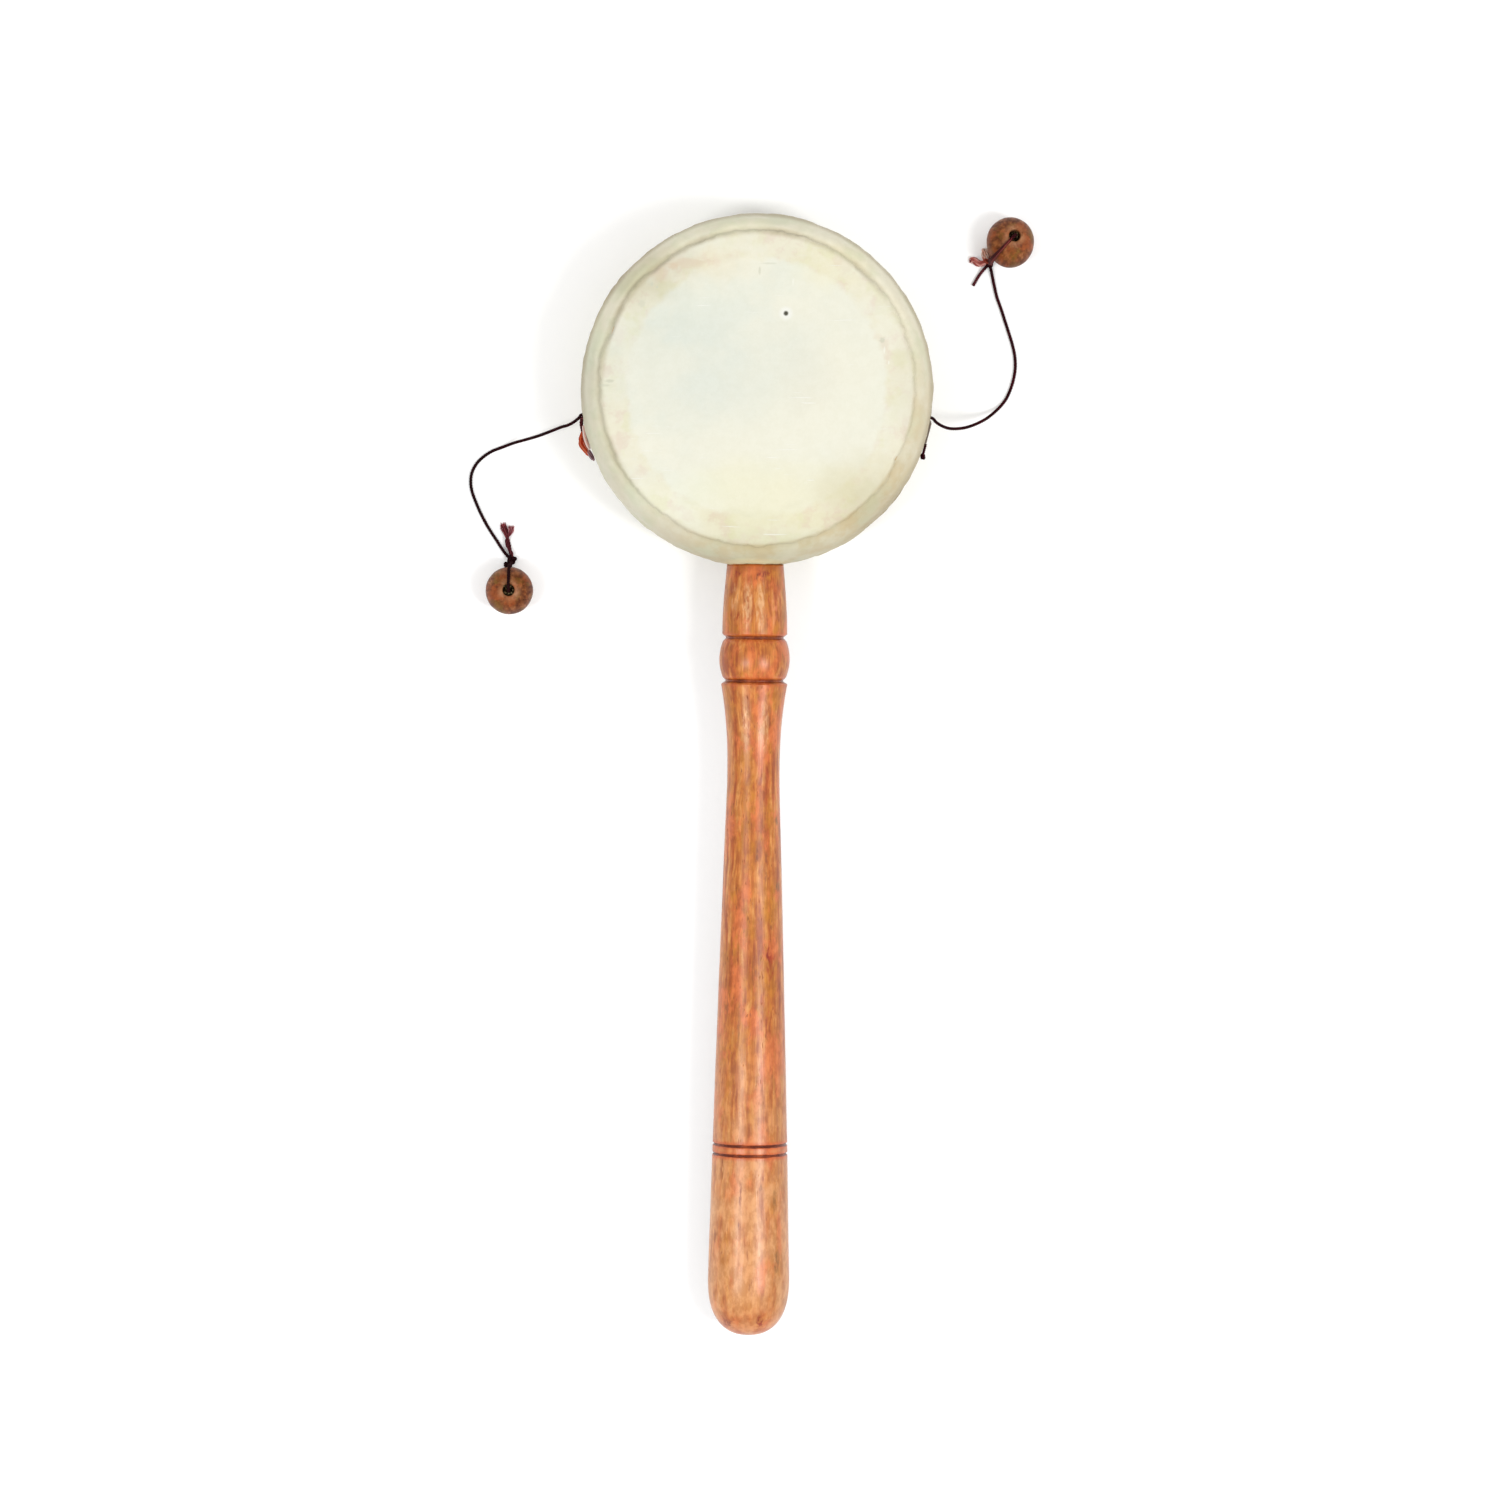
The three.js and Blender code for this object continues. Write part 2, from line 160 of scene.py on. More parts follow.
def softened(line: Points, passes: int) -> Points:
    """A line with its corners rounded, by taking each point's mean with its neighbours some times.

    Args:
        line: Its points.
        passes: How many times.

    Returns:
        The rounded line, with the same first and last point.
    """
    for _ in range(passes):
        line = np.vstack([line[:1], (line[:-2] + 2 * line[1:-1] + line[2:]) / 4, line[-1:]])
    return line


def inset(line: Points, depth: float) -> Points:
    """A flat line moved sideways.

    Args:
        line: Points of (radius, height), from the axis outwards and down.
        depth: How far, towards the inside of the drum.

    Returns:
        The moved line, with as many points.
    """
    along = np.diff(line, axis=0)
    along /= np.linalg.norm(along, axis=1)[:, None]
    normals = np.column_stack([along[:, 1], -along[:, 0]])
    before, after = np.vstack([normals[:1], normals]), np.vstack([normals, normals[-1:]])
    mitre = before + after
    mitre /= np.linalg.norm(mitre, axis=1)[:, None]
    return line + mitre * (depth / (mitre * after).sum(axis=1))[:, None]


def line_length(points: Points) -> float:
    """The length of a line through points."""
    return float(np.linalg.norm(np.diff(points, axis=0), axis=1).sum())


def ease(value: Points, low: float, high: float) -> Points:
    """Goes smoothly from 0 to 1 while the value goes from low to high."""
    share = np.clip((value - low) / (high - low), 0.0, 1.0)
    return share * share * (3 - 2 * share)


class Unevenness:
    """A smooth random height over a plane, mostly from -1 to 1."""

    def __init__(self, size: float, seed: int, waves: int = 40) -> None:
        """Draws the waves.

        Args:
            size: About how far it is from one rise to the next.
            seed: Gives the same waves each time.
            waves: How many are added up.
        """
        draw = np.random.default_rng(seed)
        turn = draw.uniform(0, 2 * math.pi, waves)
        pace = draw.uniform(0.5, 1.5, waves) * 2 * math.pi / size
        self.pace = np.stack([pace * np.cos(turn), pace * np.sin(turn)])
        self.start = draw.uniform(0, 2 * math.pi, waves)

    def at(self, x: Points, y: Points) -> Points:
        """The height at each place."""
        waves = np.cos(np.outer(x, self.pace[0]) + np.outer(y, self.pace[1]) + self.start)
        return waves.sum(axis=1) / math.sqrt(len(self.start))


# Node trees


class Wiring:
    """Adds nodes to a tree, fills their inputs and links them. Inputs go by their name or number."""

    def __init__(self, tree: bpy.types.NodeTree) -> None:
        """Starts on a tree."""
        self.tree = tree

    def add(self, kind: str, inputs: Optional[Inputs] = None, **settings: Any) -> Any:
        """Adds a node.

        Args:
            kind: The node's type.
            inputs: Sockets to link or plain values, by the input's name or number.
            settings: The node's own settings.

        Returns:
            The node.
        """
        node = self.tree.nodes.new(kind)
        for name, value in settings.items():
            setattr(node, name, value)
        for key, value in (inputs or {}).items():
            self.fill(node.inputs[key], value)
        return node

    def fill(self, socket: Socket, value: Value) -> None:
        """Links a socket to another or gives it a plain value."""
        if isinstance(value, Socket):
            self.tree.links.new(value, socket)
        else:
            socket.default_value = value

    def result(self, kind: str, inputs: Optional[Inputs] = None, **settings: Any) -> Socket:
        """Adds a node and gives its first output."""
        return self.add(kind, inputs, **settings).outputs[0]

    def math(self, operation: str, *values: Value) -> Socket:
        """The result of a Math node."""
        return self.result("ShaderNodeMath", dict(enumerate(values)), operation=operation)

    def plus(self, first: Value, second: Value) -> Socket:
        """Two numbers added."""
        return self.math("ADD", first, second)

    def minus(self, first: Value, second: Value) -> Socket:
        """A number less another."""
        return self.math("SUBTRACT", first, second)

    def times(self, first: Value, second: Value) -> Socket:
        """Two numbers multiplied."""
        return self.math("MULTIPLY", first, second)

    def vector(self, operation: str, *values: Value) -> Socket:
        """The result of a Vector Math node that gives a vector."""
        return self.result("ShaderNodeVectorMath", dict(enumerate(values)), operation=operation)

    def length(self, vector: Socket) -> Socket:
        """How long a vector is."""
        return self.add("ShaderNodeVectorMath", {0: vector}, operation="LENGTH").outputs["Value"]

    def scaled(self, vector: Socket, factor: Value) -> Socket:
        """A vector times a number."""
        return self.result("ShaderNodeVectorMath", {0: vector, "Scale": factor}, operation="SCALE")

    def split(self, vector: Socket) -> tuple[Socket, Socket, Socket]:
        """A vector's three parts."""
        outputs = self.add("ShaderNodeSeparateXYZ", {0: vector}).outputs
        return outputs[0], outputs[1], outputs[2]

    def joined(self, x: Value, y: Value, z: Value) -> Socket:
        """A vector from three numbers."""
        return self.result("ShaderNodeCombineXYZ", {0: x, 1: y, 2: z})

    def ease(self, value: Value, low: Value, high: Value, start: Value = 0.0, end: Value = 1.0) -> Socket:
        """Goes smoothly from start to end while the value goes from low to high."""
        inputs = {"Value": value, "From Min": low, "From Max": high, "To Min": start, "To Max": end}
        return self.result("ShaderNodeMapRange", inputs, interpolation_type="SMOOTHSTEP")

    def noise(self, place: Value, scale: Value, detail: float = 2.0, roughness: float = 0.5) -> Socket:
        """A noise from 0 to 1, with scale as rises for each metre."""
        inputs = {"Vector": place, "Scale": scale, "Detail": detail, "Roughness": roughness}
        return self.result("ShaderNodeTexNoise", inputs)

    def swing(self, noise: Socket, reach: Value) -> Socket:
        """A noise from 0 to 1 as a swing to both sides of 0, of half the reach at most."""
        return self.times(self.minus(noise, 0.5), reach)

    def mix(self, share: Value, first: Value, second: Value, blend: str = "MIX") -> Socket:
        """Two colours mixed."""
        inputs = {0: share, 6: first, 7: second}
        return self.add("ShaderNodeMix", inputs, data_type="RGBA", blend_type=blend).outputs[2]

    def effect(self, group: bpy.types.NodeTree, **inputs: Value) -> Any:
        """Places a node group and gives its outputs. An input's name has _ for each space.

        Args:
            group: The node group.
            inputs: Its inputs, by their names with _ for each space.

        Returns:
            The placed group's outputs.
        """
        node = self.tree.nodes.new("ShaderNodeGroup")
        node.node_tree = group
        for name, value in inputs.items():
            self.fill(node.inputs[name.replace("_", " ")], value)
        return node.outputs


class Group:
    """A node group being built, with named inputs and outputs."""

    def __init__(self, name: str, kind: str, takes: dict[str, str], gives: dict[str, str]) -> None:
        """Makes the group.

        Args:
            name: The group's name.
            kind: The tree's type.
            takes: The inputs, each name with its kind of socket.
            gives: The outputs, likewise.
        """
        self.tree = bpy.data.node_groups.new(name, kind)
        for way, sockets in (("INPUT", takes), ("OUTPUT", gives)):
            for label, socket_kind in sockets.items():
                self.tree.interface.new_socket(label, in_out=way, socket_type=f"NodeSocket{socket_kind}")
        self.wires = Wiring(self.tree)
        self.inputs = self.wires.add("NodeGroupInput").outputs
        self.results = self.wires.add("NodeGroupOutput").inputs

    def give(self, name: str, value: Socket) -> None:
        """Links an output."""
        self.wires.fill(self.results[name], value)

    def give_piece(self, mesh: Socket) -> None:
        """Ends a geometry tree: the mesh, shaded smooth and with its finish, is the piece."""
        smooth = self.wires.result("GeometryNodeSetShadeSmooth", {0: mesh})
        real = self.wires.result("GeometryNodeRealizeInstances", {0: smooth})
        finish = self.inputs["Finish"]
        self.give("Piece", self.wires.result("GeometryNodeSetMaterial", {0: real, "Material": finish}))


# Effects that materials share


@cache
def blotch_effect() -> bpy.types.NodeTree:
    """Soft irregular patches, where a noise passes a level."""
    group = Group(
        "blotches", "ShaderNodeTree",
        takes={"Place": "Vector", "Size": "Float", "Level": "Float", "Softness": "Float"},
        gives={"Mask": "Float"})
    wires, given = group.wires, group.inputs
    noise = wires.noise(given["Place"], wires.math("DIVIDE", 1.0, given["Size"]), detail=4.0, roughness=0.6)
    high = wires.plus(given["Level"], given["Softness"])
    group.give("Mask", wires.ease(noise, given["Level"], high))
    return group.tree


def blotches(wires: Wiring, place: Socket, size: Value, level: Value, softness: Value) -> Socket:
    """Where soft patches of about a size lie on a surface."""
    return wires.effect(blotch_effect(), Place=place, Size=size, Level=level, Softness=softness)["Mask"]


@cache
def mark_effect() -> bpy.types.NodeTree:
    """One stain, speck or dent with a ragged edge, at a centre and with a radius along each axis."""
    group = Group(
        "mark", "ShaderNodeTree",
        takes={"Place": "Vector", "Centre": "Vector", "Radii": "Vector", "Raggedness": "Float"},
        gives={"Mask": "Float"})
    wires, given = group.wires, group.inputs
    away = wires.vector("DIVIDE", wires.vector("SUBTRACT", given["Place"], given["Centre"]), given["Radii"])
    noise = wires.noise(away, 1.6, detail=3.0)
    ragged = wires.swing(noise, given["Raggedness"])
    group.give("Mask", wires.ease(wires.plus(wires.length(away), ragged), 1.15, 0.45))
    return group.tree


@cache
def grain_effect() -> bpy.types.NodeTree:
    """Wood figure along Y: broad streaks, fine fibres, and short dark pores."""
    group = Group(
        "grain", "ShaderNodeTree",
        takes={"Place": "Vector", "Streak Width": "Float", "Pore Width": "Float", "Pore Share": "Float"},
        gives={"Streaks": "Float", "Fibres": "Float", "Pores": "Float"})
    wires, given = group.wires, group.inputs
    streak_scale = wires.math("DIVIDE", 1.0, given["Streak Width"])
    pore_scale = wires.math("DIVIDE", 1.0, given["Pore Width"])
    wander = wires.swing(wires.noise(given["Place"], 60.0), 3 * MM)
    swayed = wires.vector("ADD", given["Place"], wires.joined(wander, 0.0, wander))
    long_streaks = wires.vector("MULTIPLY", swayed, (1.0, 0.07, 1.0))
    long_fibres = wires.vector("MULTIPLY", swayed, (1.0, 0.035, 1.0))
    long_pores = wires.vector("MULTIPLY", swayed, (1.0, 0.16, 1.0))
    group.give("Streaks", wires.noise(long_streaks, streak_scale, detail=3.0, roughness=0.6))
    group.give("Fibres", wires.noise(long_fibres, pore_scale, detail=2.0))
    pores = wires.noise(long_pores, pore_scale, detail=1.0)
    start = wires.minus(0.78, given["Pore Share"])
    group.give("Pores", wires.ease(pores, start, wires.plus(start, 0.08)))
    return group.tree


@cache
def band_effect() -> bpy.types.NodeTree:
    """A band across a piece, where a value is near a centre, with a slightly uneven edge."""
    group = Group(
        "band", "ShaderNodeTree",
        takes={"Value": "Float", "Place": "Vector", "Centre": "Float", "Half Width": "Float",
               "Softness": "Float"},
        gives={"Mask": "Float"})
    wires, given = group.wires, group.inputs
    uneven = wires.swing(wires.noise(given["Place"], 350.0), 0.5 * MM)
    away = wires.math("ABSOLUTE", wires.minus(given["Value"], given["Centre"]))
    away = wires.plus(away, uneven)
    edge = wires.plus(given["Half Width"], given["Softness"])
    group.give("Mask", wires.ease(away, edge, given["Half Width"]))
    return group.tree


# Geometry trees


@cache
def turned_tree() -> bpy.types.NodeTree:
    """Lathe work: an outline of (radius, height) swept round +Z, with a slightly uneven surface."""
    group = Group(
        "turned", "GeometryNodeTree",
        takes={"Outline": "Geometry", "Sides": "Int", "Unevenness": "Float", "Unevenness Size": "Float",
               "Seed": "Float", "Finish": "Material"},
        gives={"Piece": "Geometry"})
    wires, given = group.wires, group.inputs
    centre_circle = 0.1 * MM
    weld = 0.0005 * MM
    mostly_inwards = 0.8
    position = wires.result("GeometryNodeInputPosition")
    x, y, _ = wires.split(position)
    section = wires.joined(wires.minus(x, centre_circle), wires.times(y, -1.0), 0.0)
    outline = wires.result("GeometryNodeMeshToCurve", {0: given["Outline"]})
    outline = wires.result("GeometryNodeSetPosition", {0: outline, "Position": section})
    circle = wires.result(
        "GeometryNodeCurvePrimitiveCircle", {"Resolution": given["Sides"], "Radius": centre_circle})
    swept = wires.result("GeometryNodeCurveToMesh", {0: circle, 1: outline})
    closed = wires.result("GeometryNodeMergeByDistance", {0: swept, "Distance": weld})
    noise = wires.result(
        "ShaderNodeTexNoise",
        {"Vector": position, "W": given["Seed"], "Detail": 1.0,
         "Scale": wires.math("DIVIDE", 1.0, given["Unevenness Size"])}, noise_dimensions="4D")
    rise = wires.times(wires.minus(noise, mostly_inwards), given["Unevenness"])
    offset = wires.scaled(wires.result("GeometryNodeInputNormal"), rise)
    uneven = wires.result("GeometryNodeSetPosition", {0: closed, "Offset": offset})
    group.give_piece(uneven)
    return group.tree


def stepped_path(wires: Wiring, path: Socket, step: Socket) -> Socket:
    """A path of edges as a curve with points at even distances."""
    curve = wires.result("GeometryNodeMeshToCurve", {0: path})
    return wires.result("GeometryNodeResampleCurve", {0: curve, "Length": step}, mode="LENGTH")


def with_number(wires: Wiring, geometry: Socket, label: str, value: Socket) -> Socket:
    """The geometry with a named number at each of its points."""
    inputs = {0: geometry, "Name": label, "Value": value}
    return wires.result("GeometryNodeStoreNamedAttribute", inputs, domain="POINT")


@cache
def rope_tree() -> bpy.types.NodeTree:
    """A laid cord along a path: a lobed section, one lobe for each ply, that turns as it goes on."""
    group = Group(
        "rope", "GeometryNodeTree",
        takes={"Path": "Geometry", "Radius": "Float", "Plies": "Int", "Groove": "Float", "Pitch": "Float",
               "Step": "Float", "Finish": "Material"},
        gives={"Piece": "Geometry"})
    wires, given = group.wires, group.inputs
    path = stepped_path(wires, given["Path"], given["Step"])
    spline = wires.add("GeometryNodeSplineParameter").outputs
    whole = wires.add("GeometryNodeSplineLength").outputs["Length"]
    lobes_passed = wires.math("DIVIDE", wires.times(whole, given["Plies"]), given["Pitch"])
    turns = wires.math("DIVIDE", wires.math("ROUND", lobes_passed), given["Plies"])
    tilt = wires.times(wires.times(turns, spline["Factor"]), 2 * math.pi)
    path = wires.result("GeometryNodeSetCurveTilt", {0: path, "Tilt": tilt})
    path = with_number(wires, path, "along", spline["Length"])

    points = wires.times(given["Plies"], 8.0)
    circle = wires.result(
        "GeometryNodeCurvePrimitiveCircle", {"Resolution": points, "Radius": given["Radius"]})
    round_share = wires.result("GeometryNodeSplineParameter")
    half_turns = wires.times(wires.times(given["Plies"], round_share), math.pi)
    crown = wires.math("ABSOLUTE", wires.math("SINE", half_turns))
    sunk = wires.times(wires.minus(crown, 1.0), given["Groove"])
    crowned = with_number(wires, circle, "crown", crown)
    offset = wires.scaled(wires.result("GeometryNodeInputPosition"), sunk)
    section = wires.result("GeometryNodeSetPosition", {0: crowned, "Offset": offset})
    swept = wires.result("GeometryNodeCurveToMesh", {0: path, 1: section, "Fill Caps": True})
    group.give_piece(swept)
    return group.tree


@cache
def fibre_tree() -> bpy.types.NodeTree:
    """Loose fibres along a path, as where a cord frays: they spread by a size at start, middle and end."""
    group = Group(
        "fibres", "GeometryNodeTree",
        takes={"Path": "Geometry", "Count": "Int", "Thickness": "Float", "Start Spread": "Float",
               "Middle Spread": "Float", "End Spread": "Float", "Curl": "Float", "Step": "Float",
               "Seed": "Int", "Finish": "Material"},
        gives={"Piece": "Geometry"})
    wires, given = group.wires, group.inputs
    apart, wave_scale, shortest = 0.05, 500.0, 0.82
    path = stepped_path(wires, given["Path"], given["Step"])
    copies = wires.add(
        "GeometryNodeDuplicateElements", {0: path, "Amount": given["Count"]}, domain="SPLINE")
    drawn = {"ID": copies.outputs["Duplicate Index"], "Seed": given["Seed"]}
    direction = wires.result(
        "FunctionNodeRandomValue", {"Min": (-1.0, -1.0, -1.0), "Max": (1.0, 1.0, 1.0), **drawn},
        data_type="FLOAT_VECTOR")
    factor = wires.result("GeometryNodeSplineParameter")
    rest = wires.minus(1.0, factor)
    at_start = wires.times(given["Start Spread"], wires.times(rest, rest))
    at_end = wires.times(given["End Spread"], wires.times(factor, factor))
    at_middle = wires.times(wires.times(wires.times(factor, rest), 4.0), given["Middle Spread"])
    spread = wires.plus(wires.plus(at_start, at_end), at_middle)
    position = wires.result("GeometryNodeInputPosition")
    shifted = wires.vector("ADD", position, wires.scaled(direction, apart))
    waves = wires.add("ShaderNodeTexNoise", {"Vector": shifted, "Scale": wave_scale, "Detail": 1.0})
    swings = wires.vector("SUBTRACT", waves.outputs["Color"], (0.5, 0.5, 0.5))
    bend = wires.scaled(swings, wires.times(given["Curl"], factor))
    moved = wires.vector("ADD", wires.vector("ADD", position, wires.scaled(direction, spread)), bend)
    x, y, z = wires.split(moved)
    on_floor = wires.joined(x, y, wires.math("MAXIMUM", z, given["Thickness"]))
    loose = wires.result("GeometryNodeSetPosition", {0: copies.outputs[0], "Position": on_floor})
    tint = wires.add("FunctionNodeRandomValue", {2: 0.0, 3: 1.0, **drawn}, data_type="FLOAT").outputs[1]
    loose = with_number(wires, loose, "tint", tint)
    end = wires.ease(tint, 0.0, 1.0, shortest, 1.0)
    cut = wires.result("GeometryNodeTrimCurve", {0: loose, 3: end}, mode="FACTOR")
    half_thickness = wires.times(given["Thickness"], 0.5)
    section = wires.result(
        "GeometryNodeCurvePrimitiveCircle", {"Resolution": 5, "Radius": half_thickness})
    swept = wires.result("GeometryNodeCurveToMesh", {0: cut, 1: section, "Fill Caps": True})
    group.give_piece(swept)
    return group.tree


def in_scene(name: str, data: bpy.types.ID) -> bpy.types.Object:
    """A new object, linked to the scene."""
    made = bpy.data.objects.new(name, data)
    bpy.context.scene.collection.objects.link(made)
    return made


def line_mesh(name: str, points: Points, closed: bool = False, **attributes: Points) -> bpy.types.Mesh:
    """A line as a mesh of edges, for a tree to work on.

    Args:
        name: The mesh's name.
        points: The line's points, in two or three dimensions.
        closed: Whether the last point joins the first.
        attributes: Named numbers for each point.

    Returns:
        The mesh.
    """
    flat = points.shape[1] == 2
    corners = np.column_stack([points, np.zeros(len(points))]) if flat else points
    edges = [(i, i + 1) for i in range(len(points) - 1)]
    mesh = bpy.data.meshes.new(name)
    mesh.from_pydata(corners.tolist(), edges + ([(len(points) - 1, 0)] if closed else []), [])
    for label, values in attributes.items():
        mesh.attributes.new(label, "FLOAT", "POINT").data.foreach_set("value", values)
    return mesh


def grown(carrier: bpy.types.Mesh, tree: bpy.types.NodeTree, **inputs: Value) -> bpy.types.Mesh:
    """Runs a geometry tree on a carrier and keeps the result as a plain mesh.

    Args:
        carrier: The line that the tree works on.
        tree: The geometry tree.
        inputs: Its inputs, with _ for each space in a name.

    Returns:
        The mesh, with its faces outwards.
    """
    holder = in_scene(carrier.name, carrier)
    modifier = holder.modifiers.new("form", "NODES")
    modifier.node_group = tree
    keys = {item.name: item.identifier for item in tree.interface.items_tree if item.in_out == "INPUT"}
    for label, value in inputs.items():
        modifier[keys[label.replace("_", " ")]] = value
    graph = bpy.context.evaluated_depsgraph_get()
    mesh = bpy.data.meshes.new_from_object(holder.evaluated_get(graph), depsgraph=graph)
    holder.modifiers.remove(modifier)
    bpy.data.objects.remove(holder)
    bpy.data.meshes.remove(carrier)
    return faced_out(mesh)


def faced_out(mesh: bpy.types.Mesh) -> bpy.types.Mesh:
    """The same mesh with its faces outwards."""
    work = bmesh.new()
    work.from_mesh(mesh)
    bmesh.ops.recalc_face_normals(work, faces=work.faces)
    work.to_mesh(mesh)
    work.free()
    return mesh


def corners_of(mesh: bpy.types.Mesh) -> Points:
    """A mesh's corners as rows of three numbers."""
    values = np.empty(len(mesh.vertices) * 3, np.float32)
    mesh.vertices.foreach_get("co", values)
    return values.reshape(-1, 3).astype(float)


def set_corners(mesh: bpy.types.Mesh, corners: Points) -> None:
    """Moves a mesh's corners."""
    mesh.vertices.foreach_set("co", corners.astype(np.float32).ravel())
    mesh.update()


def attribute_of(mesh: bpy.types.Mesh, label: str) -> Points:
    """A named number for each corner."""
    values = np.empty(len(mesh.vertices), np.float32)
    mesh.attributes[label].data.foreach_get("value", values)
    return values


def put(name: str, mesh: bpy.types.Mesh, slot: Slot, *nodes: str) -> bpy.types.Object:
    """Makes a finished mesh a piece of the object.

    Args:
        name: The piece's name.
        mesh: Its mesh, in place.
        slot: The record's material slot for the piece. It is not used.
        nodes: The CAD nodes that it stands for.

    Returns:
        The piece.
    """
    mesh.name = name
    piece = in_scene(name, mesh)
    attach(piece, BODY)
    if nodes:
        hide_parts(*nodes)
    LOG.info("%s: %d faces", name, len(mesh.polygons))
    return piece


@dataclass(frozen=True)
class Pose:
    """Where the drum lies: its middle, and how far its handle dips."""

    centre: Vector
    tilt: float

    @classmethod
    def of_record(cls, record: dict[str, Any]) -> "Pose":
        """The pose that the record's two faces give."""
        faces = {mount["name"]: mount for mount in record["mounts"]}
        lower, upper = (Vector(faces[name]["pos_m"]) for name in ("lower_head", "upper_head"))
        axis = Vector(faces["upper_head"]["axis"])
        return cls((lower + upper) / 2, math.atan2(-axis.y, axis.z))

    @property
    def matrix(self) -> Matrix:
        """Takes the drum's own frame to the part's."""
        return Matrix.Translation(self.centre) @ Matrix.Rotation(self.tilt, 4, "X")

    def laid(self, mesh: bpy.types.Mesh) -> bpy.types.Mesh:
        """A mesh from the drum's own frame, laid down."""
        mesh.transform(self.matrix)
        return mesh


# Finishes


def plain_material(name: str, roughness: float, gloss: float) -> tuple[bpy.types.Material, bpy.types.Node]:
    """A new material and its one shader.

    Args:
        name: Its name.
        roughness: How rough it is, from 0 to 1.
        gloss: Its specular level.

    Returns:
        The material and its Principled shader.
    """
    material = bpy.data.materials.new(name)
    material.use_nodes = True
    shader = next(n for n in material.node_tree.nodes if n.type == "BSDF_PRINCIPLED")
    shader.inputs["Roughness"].default_value = roughness
    shader.inputs["Specular IOR Level"].default_value = gloss
    return material, shader


@dataclass(frozen=True)
class Finish:
    """A material with one shader. Its pattern lies in a frame of its own, at a centre and with a turn."""

    name: str
    centre: tuple[float, float, float] = (0.0, 0.0, 0.0)
    turn: tuple[float, float, float] = (0.0, 0.0, 0.0)
    roughness: float = 0.5
    gloss: float = 0.5

    def material(self) -> bpy.types.Material:
        """Builds the material."""
        material, shader = plain_material(self.name, self.roughness, self.gloss)
        wires = Wiring(material.node_tree)
        place = wires.add("ShaderNodeTexCoord").outputs["Object"]
        place = wires.add(
            "ShaderNodeMapping", {"Vector": place, "Location": self.centre, "Rotation": self.turn},
            vector_type="TEXTURE").outputs[0]
        self.paint(wires, shader, place)
        return material

    def paint(self, wires: Wiring, shader: bpy.types.Node, place: Socket) -> None:
        """Gives the shader its colour and texture.

        Args:
            wires: The material's tree.
            shader: Its Principled shader.
            place: The point in the pattern's own frame.
        """
        raise NotImplementedError

    @staticmethod
    def bump(wires: Wiring, shader: bpy.types.Node, height: Socket, depth: float, strength: float) -> None:
        """Gives the shader a fine relief of that depth where the height goes from 0 to 1."""
        node = wires.add("ShaderNodeBump", {"Height": height, "Distance": depth, "Strength": strength})
        wires.fill(shader.inputs["Normal"], node.outputs[0])


@dataclass(frozen=True)
class Mark:
    """A stain, streak or broad tone on the surface, or a patch of painted light or shade, in the finish's
    own frame.
    """

    centre: tuple[float, float, float]
    radii: tuple[float, float, float]
    colour: Colour
    share: float = 1.0
    raggedness: float = 0.5
    blend: str = "MIX"

    def on(self, wires: Wiring, place: Socket, colour: Socket, broken: Optional[Socket] = None) -> Socket:
        """Adds the mark to a surface.

        Args:
            wires: The material's tree.
            place: The point in the finish's frame.
            colour: The surface's colour.
            broken: Where the mark covers the surface, if it is broken up.

        Returns:
            The colour with the mark on it.
        """
        mask = wires.effect(
            mark_effect(), Place=place, Centre=self.centre, Radii=self.radii,
            Raggedness=self.raggedness)["Mask"]
        share = wires.times(mask, self.share)
        if broken is not None:
            share = wires.times(share, broken)
        return wires.mix(share, colour, self.colour, self.blend)


@dataclass(frozen=True)
class HideSpot:
    """The point of a skin that is being painted, in the skin's own frame."""

    wires: Wiring
    x: Socket
    y: Socket
    distance: Socket
    drawn: Socket

    def patches(self, size: float, level: float, softness: float, shift: float) -> Socket:
        """One layer of patches.

        Args:
            size: About how large they are, in millimetres.
            level: Where they start in a noise from 0 to 1, so that more gives fewer of them.
            softness: How soft their edges are.
            shift: Moves the layer, so that no two are alike.

        Returns:
            Where the patches are, from 0 to 1.
        """
        there = self.wires.vector("ADD", self.drawn, (shift, shift, 0.0))
        return blotches(self.wires, there, size * MM, level, softness)


